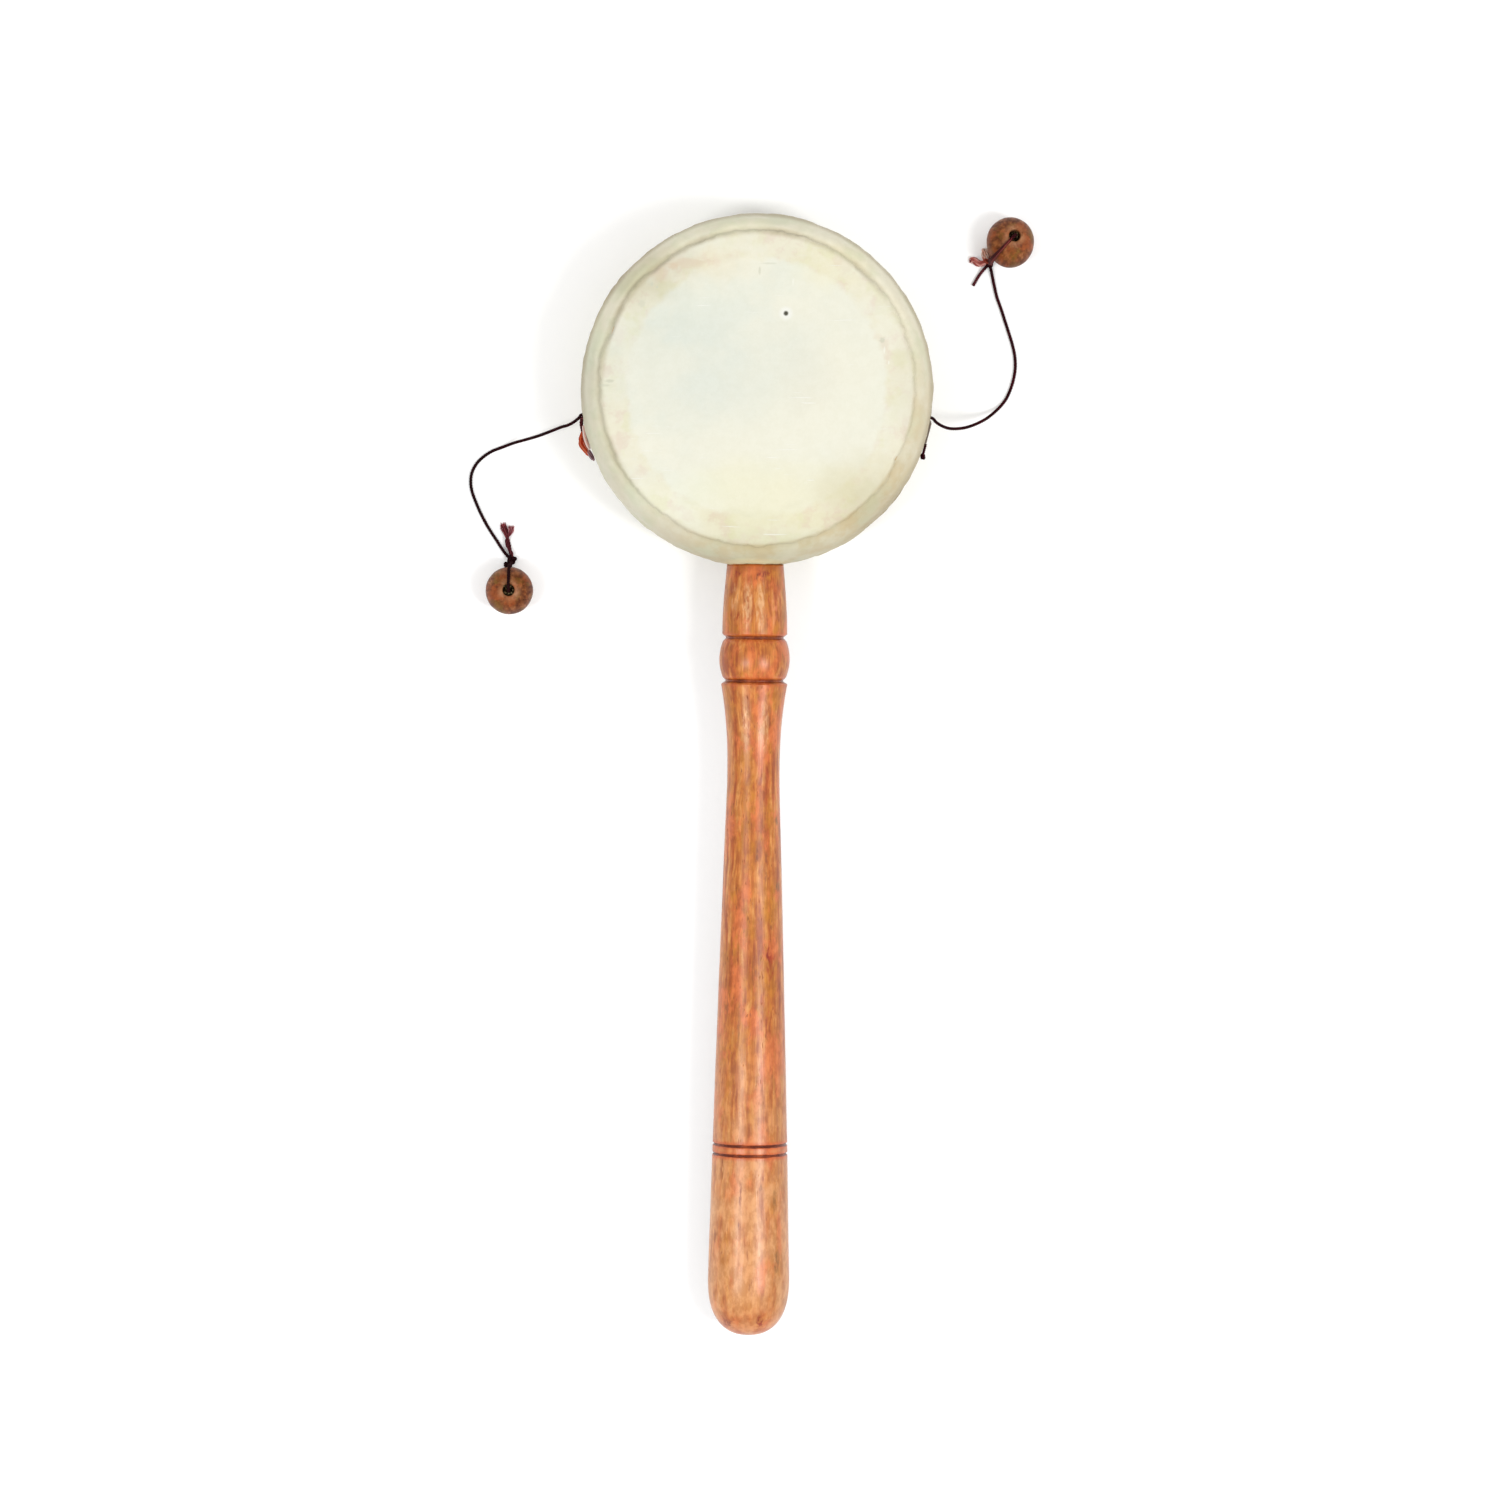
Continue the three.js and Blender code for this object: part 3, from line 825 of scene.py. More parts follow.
@dataclass(frozen=True, kw_only=True)
class HideFinish(Finish):
    """Thin dried hide: pale over the hollow, blotchy on the rim, and tanned down the side."""

    bore: float
    face: float
    crease: float
    side: float
    seed: float
    light_and_shade_tones: tuple[Mark, ...]
    marks: tuple[Mark, ...]
    roughness: float = 0.55
    gloss: float = 0.3
    warm: Colour = srgb(243, 241, 223)
    cool: Colour = srgb(236, 238, 223)
    cream: Colour = srgb(240, 235, 211)
    pink: Colour = srgb(235, 222, 202)
    straw: Colour = srgb(234, 231, 198)
    side_pale: Colour = srgb(240, 235, 212)
    side_tan: Colour = srgb(228, 211, 174)
    side_green: Colour = srgb(228, 229, 200)
    dirt_and_shade: Colour = srgb(186, 172, 138)
    scratch: Colour = srgb(252, 252, 242)

    def paint(self, wires: Wiring, shader: bpy.types.Node, place: Socket) -> None:
        """Paints the hide from the middle outwards with its painted shade, and then its broad painted light
        and shade, scratches and marks.
        """
        x, y, _ = wires.split(place)
        distance = wires.length(wires.vector("MULTIPLY", place, (1.0, 1.0, 0.0)))
        drawn = wires.vector("ADD", place, (self.seed, self.seed, self.seed))
        spot = HideSpot(wires, x, y, distance, drawn)
        off_face = wires.ease(distance, self.face - 0.3 * MM, self.crease - 0.1 * MM)
        colour = self.with_rim(spot, self.free_skin(spot))
        colour = wires.mix(off_face, colour, self.down_side(spot))
        colour = self.with_dirt_and_shade(spot, colour)
        for tone in self.light_and_shade_tones:
            colour = tone.on(wires, place, colour)

        mottle = wires.noise(drawn, 420.0, 4.0, 0.7)
        mottled = wires.mix(wires.ease(mottle, 0.35, 0.65), srgb(205, 200, 180), srgb(255, 255, 250))
        colour = wires.mix(0.12, colour, mottled, "SOFT_LIGHT")
        scratches = wires.times(self.scratches(spot), wires.minus(1.0, off_face))
        colour = wires.mix(wires.times(scratches, 0.5), colour, self.scratch)
        for mark in self.marks:
            colour = mark.on(wires, place, colour)
        wires.fill(shader.inputs["Base Color"], colour)

        rough = wires.ease(mottle, 0.3, 0.7, self.roughness - 0.07, self.roughness + 0.1)
        wires.fill(shader.inputs["Roughness"], rough)
        height = wires.plus(wires.noise(drawn, 900.0, 5.0, 0.65), wires.times(scratches, 0.4))
        self.bump(wires, shader, height, 0.12 * MM, 0.6)

    def free_skin(self, spot: HideSpot) -> Socket:
        """The colour over the hollow: warm, with cooler patches towards the upper left."""
        wires = spot.wires
        upper_left = wires.ease(wires.minus(spot.y, spot.x), -20 * MM, 40 * MM)
        cool_share = wires.plus(wires.times(upper_left, 0.75), 0.2)
        cool_share = wires.times(spot.patches(16, 0.38, 0.25, 0.1), cool_share)
        return wires.mix(cool_share, self.warm, self.cool)

    def with_rim(self, spot: HideSpot, colour: Socket) -> Socket:
        """Adds the blotchy hide over the shell's rim, and the straw-coloured line where it starts.

        Args:
            spot: The point that is painted.
            colour: The colour over the hollow.

        Returns:
            The colour of the whole face.
        """
        wires = spot.wires
        reach = wires.plus(spot.distance, wires.swing(wires.noise(spot.drawn, 190.0, 4.0, 0.65), 5 * MM))
        on_rim = wires.ease(reach, self.bore - 0.6 * MM, self.bore + 1.6 * MM)
        rim = wires.mix(spot.patches(6, 0.48, 0.12, 0.3), self.cream, self.pink)
        rim = wires.mix(wires.times(spot.patches(9, 0.5, 0.1, 0.5), 0.8), rim, self.straw)
        rim_share = wires.plus(wires.times(spot.patches(13, 0.42, 0.15, 0.6), 0.5), 0.4)
        colour = wires.mix(wires.times(on_rim, rim_share), colour, rim)
        edge_line = wires.times(on_rim, wires.ease(reach, self.bore + 3.2 * MM, self.bore + 0.6 * MM))
        edge_line = wires.times(edge_line, spot.patches(5, 0.5, 0.2, 0.7))
        return wires.mix(wires.times(edge_line, 0.35), colour, self.straw)

    def down_side(self, spot: HideSpot) -> Socket:
        """The colour of the side: pale and greenish, and tanned towards the lower right, with painted shade
        towards the handle and painted light away from it.
        """
        wires = spot.wires
        lower_right = wires.ease(wires.minus(wires.times(spot.x, 0.55), spot.y), 5 * MM, 50 * MM)
        colour = wires.mix(spot.patches(10, 0.42, 0.2, 0.9), self.side_pale, self.side_green)
        tan_share = wires.plus(wires.times(lower_right, 0.6), 0.15)
        tan_share = wires.times(tan_share, wires.plus(spot.patches(7, 0.35, 0.3, 1.1), 0.35))
        colour = wires.mix(tan_share, colour, self.side_tan)
        # Painted shade and light: the side is darker towards the handle and lighter away from it.
        return wires.scaled(colour, wires.ease(spot.y, -self.side, self.side, 0.87, 1.12))

    def with_dirt_and_shade(self, spot: HideSpot, colour: Socket) -> Socket:
        """Adds painted shade with some dirt in the crease, most of it at the upper left, and darkens the
        outermost edge except near the bottom.

        Args:
            spot: The point that is painted.
            colour: The clean hide's colour.

        Returns:
            The colour with the painted shade, the dirt and the darker edge.
        """
        wires = spot.wires
        # Painted shade with some dirt in the crease, stronger towards the upper left.
        crease = wires.effect(
            band_effect(), Value=spot.distance, Place=spot.drawn, Centre=self.crease - 0.2 * MM,
            Half_Width=0.35 * MM, Softness=1.3 * MM)["Mask"]
        rising = wires.minus(wires.times(spot.y, 0.75), wires.times(spot.x, 0.65))
        crease = wires.times(crease, wires.ease(rising, -20 * MM, 35 * MM, 0.33, 1.0))
        patchy = wires.plus(wires.times(spot.patches(13, 0.42, 0.3, 1.3), 0.35), 0.3)
        colour = wires.mix(wires.times(crease, patchy), colour, self.dirt_and_shade)
        # Darker along the outermost edge, except near the bottom.
        sinking = wires.plus(wires.times(spot.x, -0.4), wires.times(spot.y, -0.9))
        outermost = wires.ease(spot.distance, self.side - 1.9 * MM, self.side - 0.4 * MM)
        outermost = wires.times(outermost, wires.ease(sinking, 38 * MM, 15 * MM))
        return wires.mix(wires.times(outermost, 0.8), colour, self.dirt_and_shade)

    def scratches(self, spot: HideSpot) -> Socket:
        """Where fine scratches run across the skin, in patches."""
        wires = spot.wires
        across = wires.vector("MULTIPLY", spot.drawn, (0.07, 1.0, 1.0))
        lines = wires.ease(wires.noise(across, 1500.0, 0.0), 0.735, 0.78)
        return wires.times(lines, spot.patches(14, 0.5, 0.1, 1.5))


@dataclass(frozen=True)
class WoodFinish(Finish):
    """Turned wood with its grain along Y: streaks, fibres, pores and broad patches."""

    light: Colour = srgb(232, 158, 84)
    middle: Colour = srgb(212, 126, 50)
    dark: Colour = srgb(180, 86, 20)
    pore: Colour = srgb(136, 62, 12)
    patch: Colour = srgb(202, 124, 26)
    blush: Colour = srgb(230, 122, 60)
    streak_width: float = 1.5 * MM
    pore_width: float = 0.42 * MM
    pore_share: float = 0.1
    patch_size: float = 5 * MM
    mottling: float = 1.0
    greyed: float = 0.0
    relief: float = 0.025 * MM

    def paint(self, wires: Wiring, shader: bpy.types.Node, place: Socket) -> None:
        """Paints the grain and then what the piece adds."""
        grain = wires.effect(
            grain_effect(), Place=place, Streak_Width=self.streak_width, Pore_Width=self.pore_width,
            Pore_Share=self.pore_share)
        colour = wires.mix(wires.ease(grain["Streaks"], 0.36, 0.54), self.dark, self.middle)
        colour = wires.mix(wires.ease(grain["Streaks"], 0.5, 0.68), colour, self.light)
        for shift, patch, share in ((0.2, self.patch, 0.8), (0.6, self.blush, 0.8)):
            shifted = wires.vector("ADD", place, (shift, shift, shift))
            there = wires.vector("MULTIPLY", shifted, (1.0, 0.45, 1.0))
            mask = blotches(wires, there, self.patch_size, 0.5, 0.12)
            colour = wires.mix(wires.times(mask, share), colour, patch)
        fibres = wires.ease(grain["Fibres"], 0.3, 0.7)
        fibrous = wires.mix(fibres, srgb(150, 140, 135), srgb(255, 252, 250))
        colour = wires.mix(0.25, colour, fibrous, "SOFT_LIGHT")
        colour = wires.mix(wires.times(grain["Pores"], 0.7), colour, self.pore)
        colour = self.worked(wires, place, colour)
        mottle = wires.noise(wires.vector("MULTIPLY", place, (1.0, 0.55, 1.0)), 520.0, 3.0, 0.6)
        tone = wires.mix(wires.ease(mottle, 0.38, 0.62), (0.86, 0.8, 0.72, 1.0), (1.1, 1.13, 1.2, 1.0))
        colour = wires.mix(self.mottling, colour, tone, "MULTIPLY")
        if self.greyed:
            bounced = wires.add("ShaderNodeLightPath").outputs["Is Diffuse Ray"]
            colour = wires.mix(wires.times(bounced, self.greyed), colour, (0.5, 0.5, 0.5, 1.0))
        wires.fill(shader.inputs["Base Color"], colour)
        rough = wires.ease(grain["Streaks"], 0.3, 0.7, self.roughness + 0.06, self.roughness - 0.04)
        wires.fill(shader.inputs["Roughness"], wires.plus(wires.times(grain["Pores"], 0.25), rough))
        height = wires.minus(wires.times(fibres, 0.5), grain["Pores"])
        self.bump(wires, shader, height, self.relief, 0.7)

    def worked(self, wires: Wiring, place: Socket, colour: Socket) -> Socket:
        """What is burnt, stained or worn on this piece. Plain wood has none of it."""
        return colour


@dataclass(frozen=True)
class Burn:
    """A line burnt into a groove, by its distance from the drum's axis, with reddened wood beside it."""

    place: float
    half_width: float
    share: float
    reddened: float = 0.5


@dataclass(frozen=True, kw_only=True)
class HandleFinish(WoodFinish):
    """Orange-brown varnished wood with burnt grooves and dark stains, painted shade and painted highlights.
    """

    burns: tuple[Burn, ...]
    marks: tuple[Mark, ...]
    drum_side: float
    butt_start: float
    pale_start: float = 165 * MM
    burnt: Colour = srgb(108, 36, 6)
    reddened: Colour = srgb(214, 94, 36)
    rusty: Colour = srgb(200, 98, 36)
    pale: Colour = srgb(234, 167, 108)
    greyed: float = 0.8
    roughness: float = 0.32
    gloss: float = 0.42

    def worked(self, wires: Wiring, place: Socket, colour: Socket) -> Socket:
        """Adds the paler patches towards the butt, painted shade down the right side, the darker butt, a
        painted shadow at the drum's end, the stains, painted shadow and highlights among the marks, and the
        burnt lines.
        """
        x, y, _ = wires.split(place)
        along = wires.times(y, -1.0)
        patchy = blotches(wires, place, 5 * MM, 0.42, 0.2)
        butt = wires.ease(along, self.butt_start + 3 * MM, self.butt_start + 11 * MM)
        butt = wires.times(butt, wires.plus(wires.times(patchy, 0.6), 0.3))
        # Painted shadow of the drum's edge, darkening the neck where it meets the drum.
        neck = wires.times(wires.ease(along, self.drum_side + 2.2 * MM, self.drum_side), 0.5)
        worn = wires.ease(along, self.pale_start, self.pale_start + 60 * MM)
        uneven = wires.noise(wires.vector("MULTIPLY", place, (1.0, 0.4, 1.0)), 330.0, 3.0)
        worn = wires.times(worn, wires.ease(uneven, 0.36, 0.62, 0.25, 0.85))
        colour = wires.mix(worn, colour, self.pale)
        # Painted shade: the wood is darker down the right side.
        colour = wires.scaled(colour, wires.ease(x, 4 * MM, 9 * MM, 1.0, 0.85))
        colour = wires.mix(butt, colour, self.rusty)
        colour = wires.mix(neck, colour, self.dark)
        flecks = wires.noise(wires.vector("MULTIPLY", place, (1.0, 0.28, 1.0)), 1500.0)
        broken = wires.ease(flecks, 0.42, 0.58, 0.2, 1.0)
        for mark in self.marks:
            colour = mark.on(wires, place, colour, broken)
        for burn in self.burns:
            halo = wires.effect(
                band_effect(), Value=along, Place=place, Centre=burn.place,
                Half_Width=burn.half_width, Softness=1.3 * MM)["Mask"]
            colour = wires.mix(wires.times(halo, burn.reddened), colour, self.reddened)
            line = wires.effect(
                band_effect(), Value=along, Place=place, Centre=burn.place,
                Half_Width=burn.half_width * 0.55, Softness=0.35 * MM)["Mask"]
            depth = wires.plus(wires.times(patchy, 0.35), burn.share)
            colour = wires.mix(wires.times(line, depth), colour, self.burnt)
        return colour


@dataclass(frozen=True, kw_only=True)
class BeadFinish(WoodFinish):
    """Dull brown wood, paler and pinkish round the bore, and painted dark inside it as shade."""

    bore: float
    radius: float
    light: Colour = srgb(166, 102, 58)
    middle: Colour = srgb(134, 76, 36)
    dark: Colour = srgb(102, 50, 20)
    pore: Colour = srgb(60, 24, 6)
    patch: Colour = srgb(128, 88, 28)
    blush: Colour = srgb(160, 80, 34)
    worn: Colour = srgb(190, 134, 94)
    hollow: Colour = srgb(36, 14, 6)
    streak_width: float = 1.3 * MM
    pore_width: float = 0.4 * MM
    pore_share: float = 0.08
    patch_size: float = 4.2 * MM
    roughness: float = 0.45
    gloss: float = 0.15

    def worked(self, wires: Wiring, place: Socket, colour: Socket) -> Socket:
        """Adds the worn wood round the bore, the darker rim and the bore painted dark as shade."""
        distance = wires.length(wires.vector("MULTIPLY", place, (1.0, 0.0, 1.0)))
        worn = wires.ease(distance, self.radius * 0.62, self.bore * 1.2)
        worn = wires.times(worn, blotches(wires, place, 3 * MM, 0.3, 0.3))
        colour = wires.mix(wires.times(worn, 0.7), colour, self.worn)
        rim = wires.ease(distance, self.radius * 0.86, self.radius)
        colour = wires.mix(wires.times(rim, 0.3), colour, self.dark)
        # Painted shade: the bore's wall is painted dark.
        inside = wires.ease(distance, self.bore + 0.2 * MM, self.bore - 0.05 * MM)
        return wires.mix(inside, colour, self.hollow)


@dataclass(frozen=True, kw_only=True)
class CordFinish(Finish):
    """Laid cotton cord, nearly black, with maroon crowns, and redder from a place on its length."""

    loose_from: float
    deep: Colour = srgb(20, 3, 5)
    crown: Colour = srgb(74, 12, 24)
    loose_deep: Colour = srgb(62, 14, 22)
    loose_crown: Colour = srgb(142, 70, 76)
    fuzz: Colour = srgb(120, 50, 56)
    roughness: float = 0.75
    gloss: float = 0.06

    def paint(self, wires: Wiring, shader: bpy.types.Node, place: Socket) -> None:
        """Paints the plies: dark between them as painted shade, redder on their crowns and at the end."""
        crown = wires.add("ShaderNodeAttribute", attribute_name="crown").outputs["Fac"]
        along = wires.add("ShaderNodeAttribute", attribute_name="along").outputs["Fac"]
        loose = wires.ease(along, self.loose_from, self.loose_from + 2 * MM)
        worn = wires.noise(place, 160.0, 3.0)
        # The deep colour between the plies is painted shade.
        share = wires.times(wires.ease(crown, 0.35, 1.0), wires.ease(worn, 0.35, 0.7, 0.25, 1.0))
        deep = wires.mix(loose, self.deep, self.loose_deep)
        crowns = wires.mix(loose, self.crown, self.loose_crown)
        colour = wires.mix(share, deep, crowns)
        fine = wires.noise(place, 9000.0, 2.0)
        colour = wires.mix(wires.times(wires.ease(fine, 0.58, 0.75), 0.3), colour, self.fuzz)
        wires.fill(shader.inputs["Base Color"], colour)
        self.bump(wires, shader, fine, 0.04 * MM, 0.6)


@dataclass(frozen=True, kw_only=True)
class FrayFinish(Finish):
    """Loose dyed fibres, each of its own tint."""

    dye: Dye
    roughness: float = 0.7
    gloss: float = 0.15

    def paint(self, wires: Wiring, shader: bpy.types.Node, place: Socket) -> None:
        """Paints each fibre by its tint, with a slow change along it."""
        tint = wires.add("ShaderNodeAttribute", attribute_name="tint").outputs["Fac"]
        drift = wires.swing(wires.noise(place, 700.0), 0.5)
        level = wires.plus(tint, drift)
        deep, middle, pale = (srgb(*tone) for tone in self.dye.value)
        colour = wires.mix(wires.ease(level, 0.1, 0.55), deep, middle)
        colour = wires.mix(wires.ease(level, 0.6, 0.95), colour, pale)
        wires.fill(shader.inputs["Base Color"], colour)


# The pieces


@dataclass
class Drum:
    """The shell and its two skins."""

    pose: Pose
    radius: float = 47.7 * MM
    depth: float = 36 * MM
    shoulder_width: float = 5.3 * MM
    face_edge_width: float = 0.8 * MM
    face_step: float = 1.5 * MM
    rim_width: float = 7.1 * MM
    skin_thickness: float = 0.6 * MM
    seam_width: float = 3 * MM
    glue: float = 0.06 * MM
    notch_radius: float = 5.3 * MM
    hole_below_centre: float = 7.4 * MM
    hole_radius: float = 1.22 * MM
    tenon_hole_radius: float = 4.8 * MM
    sides: int = 256

    @property
    def crease(self) -> float:
        """The radius of the crease around each face."""
        return self.radius - self.shoulder_width

    @property
    def face(self) -> float:
        """The radius of the flat part of each face."""
        return self.crease - self.face_edge_width

    @property
    def bore(self) -> float:
        """The radius of the hollow."""
        return self.face - self.rim_width

    @property
    def shoulder(self) -> float:
        """The height of the crease above half depth."""
        return self.depth / 2 - self.face_step

    def side_at(self, height: Points) -> Points:
        """The side's radius at a height above or below half depth."""
        return self.crease + self.shoulder_width * np.sqrt(1 - np.clip(height / self.shoulder, -1, 1) ** 2)

    def outline(self, lowest: float, fineness: float = 1.0) -> Points:
        """The upper half's outside, from the middle of the face down the side to a height.

        Args:
            lowest: The height where it ends.
            fineness: More gives closer points.

        Returns:
            Points of (radius, height).
        """
        over_edge = np.linspace(0, math.pi / 2, 40)
        down_side = np.linspace(math.pi / 2, math.asin(lowest / self.shoulder), 120)
        edge = np.column_stack([
            self.face + self.face_edge_width * np.sin(over_edge),
            self.shoulder + self.face_step * np.cos(over_edge)])
        side = np.column_stack([
            self.crease + self.shoulder_width * np.cos(down_side), self.shoulder * np.sin(down_side)])
        rounded = softened(even_steps(np.vstack([edge, side[1:]]), 0.2 * MM), 6)
        near, far = even_steps(rounded, 0.2 * MM), even_steps(rounded, 0.4 * MM / fineness)
        split = self.crease + 1.2 * MM
        worked = np.vstack([near[near[:, 0] < split], far[far[:, 0] >= split]])
        face = np.linspace(0, self.face, round(75 * fineness), endpoint=False)
        return np.vstack([np.column_stack([face, np.full(len(face), self.depth / 2)]), worked])

    def hole(self, side: Side, radius: float, round_side: float = 0.0, height: float = 0.0) -> Vector:
        """A point near a cord hole.

        Args:
            side: Which hole.
            radius: The point's distance from the drum's axis.
            round_side: How far it is round the side towards the handle.
            height: How far above half depth.

        Returns:
            The point in the part's frame.
        """
        angle = math.asin(self.hole_below_centre / self.radius) + round_side / self.radius
        return self.pose.matrix @ Vector(
            (side.value * radius * math.cos(angle), -radius * math.sin(angle), height))

    def build(self) -> None:
        """Makes the shell and both skins."""
        self.make_shell()
        for face in Face:
            self.make_skin(face)

    def make_shell(self) -> None:
        """The turned ring, with its holes for the tenon and the cords."""
        rim = inset(self.outline(0.0, 0.5), self.skin_thickness + self.glue)
        rim = rim[rim[:, 0] > self.bore]
        rim = np.vstack([[self.bore, rim[0, 1]], rim])
        rim[-1, 1] = 0.0
        upper = even_steps(rim, 0.8 * MM)
        lower = (upper * [1, -1])[::-1][1:]
        finish = WoodFinish(
            "shell wood", centre=tuple(self.pose.centre), turn=(self.pose.tilt, 0, 0),
            light=srgb(226, 206, 168), middle=srgb(213, 189, 146), dark=srgb(193, 165, 120),
            pore=srgb(150, 118, 78), patch=srgb(205, 183, 138), blush=srgb(216, 188, 150), mottling=0.5,
            roughness=0.6)
        mesh = grown(
            line_mesh("shell", np.vstack([upper, lower]), closed=True), turned_tree(), Sides=self.sides,
            Unevenness=0.08 * MM, Unevenness_Size=9 * MM, Seed=1.0, Finish=finish.material())
        shell = in_scene("shell_blank", mesh)
        holes = [(Vector((0, -self.radius, 0)), self.tenon_hole_radius)]
        inverse = self.pose.matrix.inverted()
        holes += [(inverse @ self.hole(side, self.radius), self.hole_radius) for side in Side]
        drills = [self.drill(place, radius) for place, radius in holes]
        for drill in drills:
            modifier = shell.modifiers.new(drill.name, "BOOLEAN")
            modifier.operation, modifier.solver, modifier.object = "DIFFERENCE", "EXACT", drill
        graph = bpy.context.evaluated_depsgraph_get()
        drilled = bpy.data.meshes.new_from_object(shell.evaluated_get(graph), depsgraph=graph)
        for helper in (shell, *drills):
            bpy.data.objects.remove(helper)
        put("shell_turned", self.pose.laid(drilled), Slot.SHELL, "shell")

    def drill(self, place: Vector, radius: float) -> bpy.types.Object:
        """A round bar through the shell's wall at a place, pointing to the drum's axis.

        Args:
            place: The hole's place on the shell, in the drum's own frame.
            radius: The hole's radius.

        Returns:
            The bar, to be cut out of the shell.
        """
        work = bmesh.new()
        outwards = place.normalized()
        turn = outwards.to_track_quat("Z", "Y").to_matrix().to_4x4()
        middle = Matrix.Translation(outwards * (self.bore + self.radius) / 2)
        bmesh.ops.create_cone(
            work, cap_ends=True, segments=32, radius1=radius, radius2=radius,
            depth=2 * (self.radius - self.bore), matrix=middle @ turn)
        mesh = bpy.data.meshes.new("drill")
        work.to_mesh(mesh)
        work.free()
        return in_scene("drill", mesh)

    def make_skin(self, face: Face) -> None:
        """One skin: a disc of hide with its edge drawn down the side and glued."""
        outside = self.outline(self.seam_width / 2)
        inside = inset(self.outline(self.seam_width / 2, 0.3), self.skin_thickness)[::-1]
        inside[-1, 0] = 0.0
        line = np.vstack([outside, inside])
        outer = np.concatenate([np.ones(len(outside)), np.zeros(len(inside))])
        word = face.name.lower()
        is_upper = face is Face.UPPER
        finish = HideFinish(
            f"hide {word}", centre=tuple(self.pose.centre), turn=(self.pose.tilt, 0, 0), bore=self.bore,
            face=self.face, crease=self.crease, side=self.radius, seed=0.0 if is_upper else 0.4,
            light_and_shade_tones=self.skin_tones(face), marks=self.skin_marks() if is_upper else ())
        mesh = grown(
            line_mesh(word, line, outer=outer), turned_tree(), Sides=self.sides, Unevenness=0.0,
            Unevenness_Size=1.0, Seed=0.0, Finish=finish.material())
        self.work_skin(mesh, seed=10 if is_upper else 20)
        if not is_upper:
            mesh.transform(Matrix.Rotation(math.pi, 4, "Y"))
        put(f"skin_{word}", self.pose.laid(mesh), Slot.SKIN, f"head_{word}")

    def skin_tones(self, face: Face) -> tuple[Mark, ...]:
        """The broad painted light and shade of a skin, with some tint, each a factor for red, green and
        blue.

        Args:
            face: Which skin. The lower one's are turned by half a turn, but for the painted light by the
                neck.

        Returns:
            The tones.
        """
        way = face.value
        # Painted light and shade: each part of the skin lighter or darker by how it faces the lamps, with
        # some tint.
        rows = (
            (-14, 6, 36, 27, (0.93, 0.955, 0.985)), (-27, 18, 12, 16, (0.97, 0.98, 0.98)),
            (5, -29, 30, 15, (1.0, 0.985, 0.89)), (-31, 31, 18, 12, (0.84, 0.82, 0.77)),
            (33, -29, 20, 18, (0.92, 0.9, 0.83)), (2, -43, 27, 7, (0.93, 0.94, 0.9)),
            (2, -38, 26, 8, (0.95, 0.95, 0.9)), (24, -28, 12, 10, (0.96, 0.95, 0.94)),
            (42, 2, 8, 22, (0.95, 0.94, 0.92)), (-43, 2, 8, 18, (0.95, 0.96, 0.95)),
            (-10, 33, 9, 7, (0.98, 0.95, 0.9)), (20, 33, 14, 9, (1.0, 0.99, 0.92)),
            (-22, -30, 16, 12, (1.0, 1.02, 1.03)), (14, 2, 10, 14, (0.985, 0.975, 0.97)),
            (-32, -33, 13, 11, (1.05, 1.05, 1.05)), (-46, 2, 4, 18, (0.94, 0.94, 0.94)),
            (34, -32, 12, 11, (0.95, 0.95, 0.95)),
        )
        turned = [(way * x, way * y, *rest) for x, y, *rest in rows]
        # Painted light in the crevice where the skin meets the neck, against its shade.
        neck_crevice_light = (0, -47.2, 10, 2.2, (1.3, 1.24, 1.12))
        return tuple(
            Mark((x * MM, y * MM, 0.0), (width * MM, height * MM, self.depth), (*tone, 1.0),
                 raggedness=0.7, blend="MULTIPLY")
            for x, y, width, height, tone in (*turned, neck_crevice_light))

    def skin_marks(self) -> tuple[Mark, ...]:
        """The black speck, painted shade in the dents, and faint stains on the upper skin."""
        top = self.depth / 2
        # The shade marks are painted shade in the face's dents.
        shade, tan, pale = srgb(212, 212, 190), srgb(222, 200, 172), srgb(252, 252, 240)
        rows = (
            (7.55, 20.11, 2.1, 2.1, srgb(250, 250, 242), 0.8, 0.1),
            (7.55, 20.11, 0.78, 0.78, srgb(74, 72, 56), 1.0, 0.25),
            (-39.5, 1.6, 1.5, 0.5, shade, 0.8, 1.2), (-41.0, 0.4, 2.0, 0.35, shade, 0.6, 1.2),
            (-28.4, 27.6, 0.5, 0.6, shade, 0.8, 1.0), (-27.0, 26.8, 0.4, 0.4, shade, 0.8, 1.0),
            (-31.0, 22.4, 1.2, 1.2, shade, 0.5, 1.3), (-22.6, 32.4, 1.6, 1.0, tan, 0.6, 1.3),
            (33.4, 13.2, 0.9, 0.8, shade, 0.7, 1.3), (34.0, 10.6, 0.3, 1.0, pale, 0.6, 1.0),
            (0.4, 31.4, 0.4, 1.2, shade, 0.6, 1.0), (3.0, 33.4, 2.6, 0.3, shade, 0.45, 1.0),
            (9.4, 28.6, 0.3, 0.9, pale, 0.5, 1.0), (35.2, 7.2, 0.25, 0.6, pale, 0.6, 1.0),
            (-19.0, 33.4, 6.0, 1.6, tan, 0.5, 1.3), (-26.4, 30.6, 3.0, 2.6, tan, 0.35, 1.3),
        )
        return tuple(
            Mark((x * MM, y * MM, top), (width * MM, height * MM, 3 * MM), colour, share, raggedness)
            for x, y, width, height, colour, share, raggedness in rows)

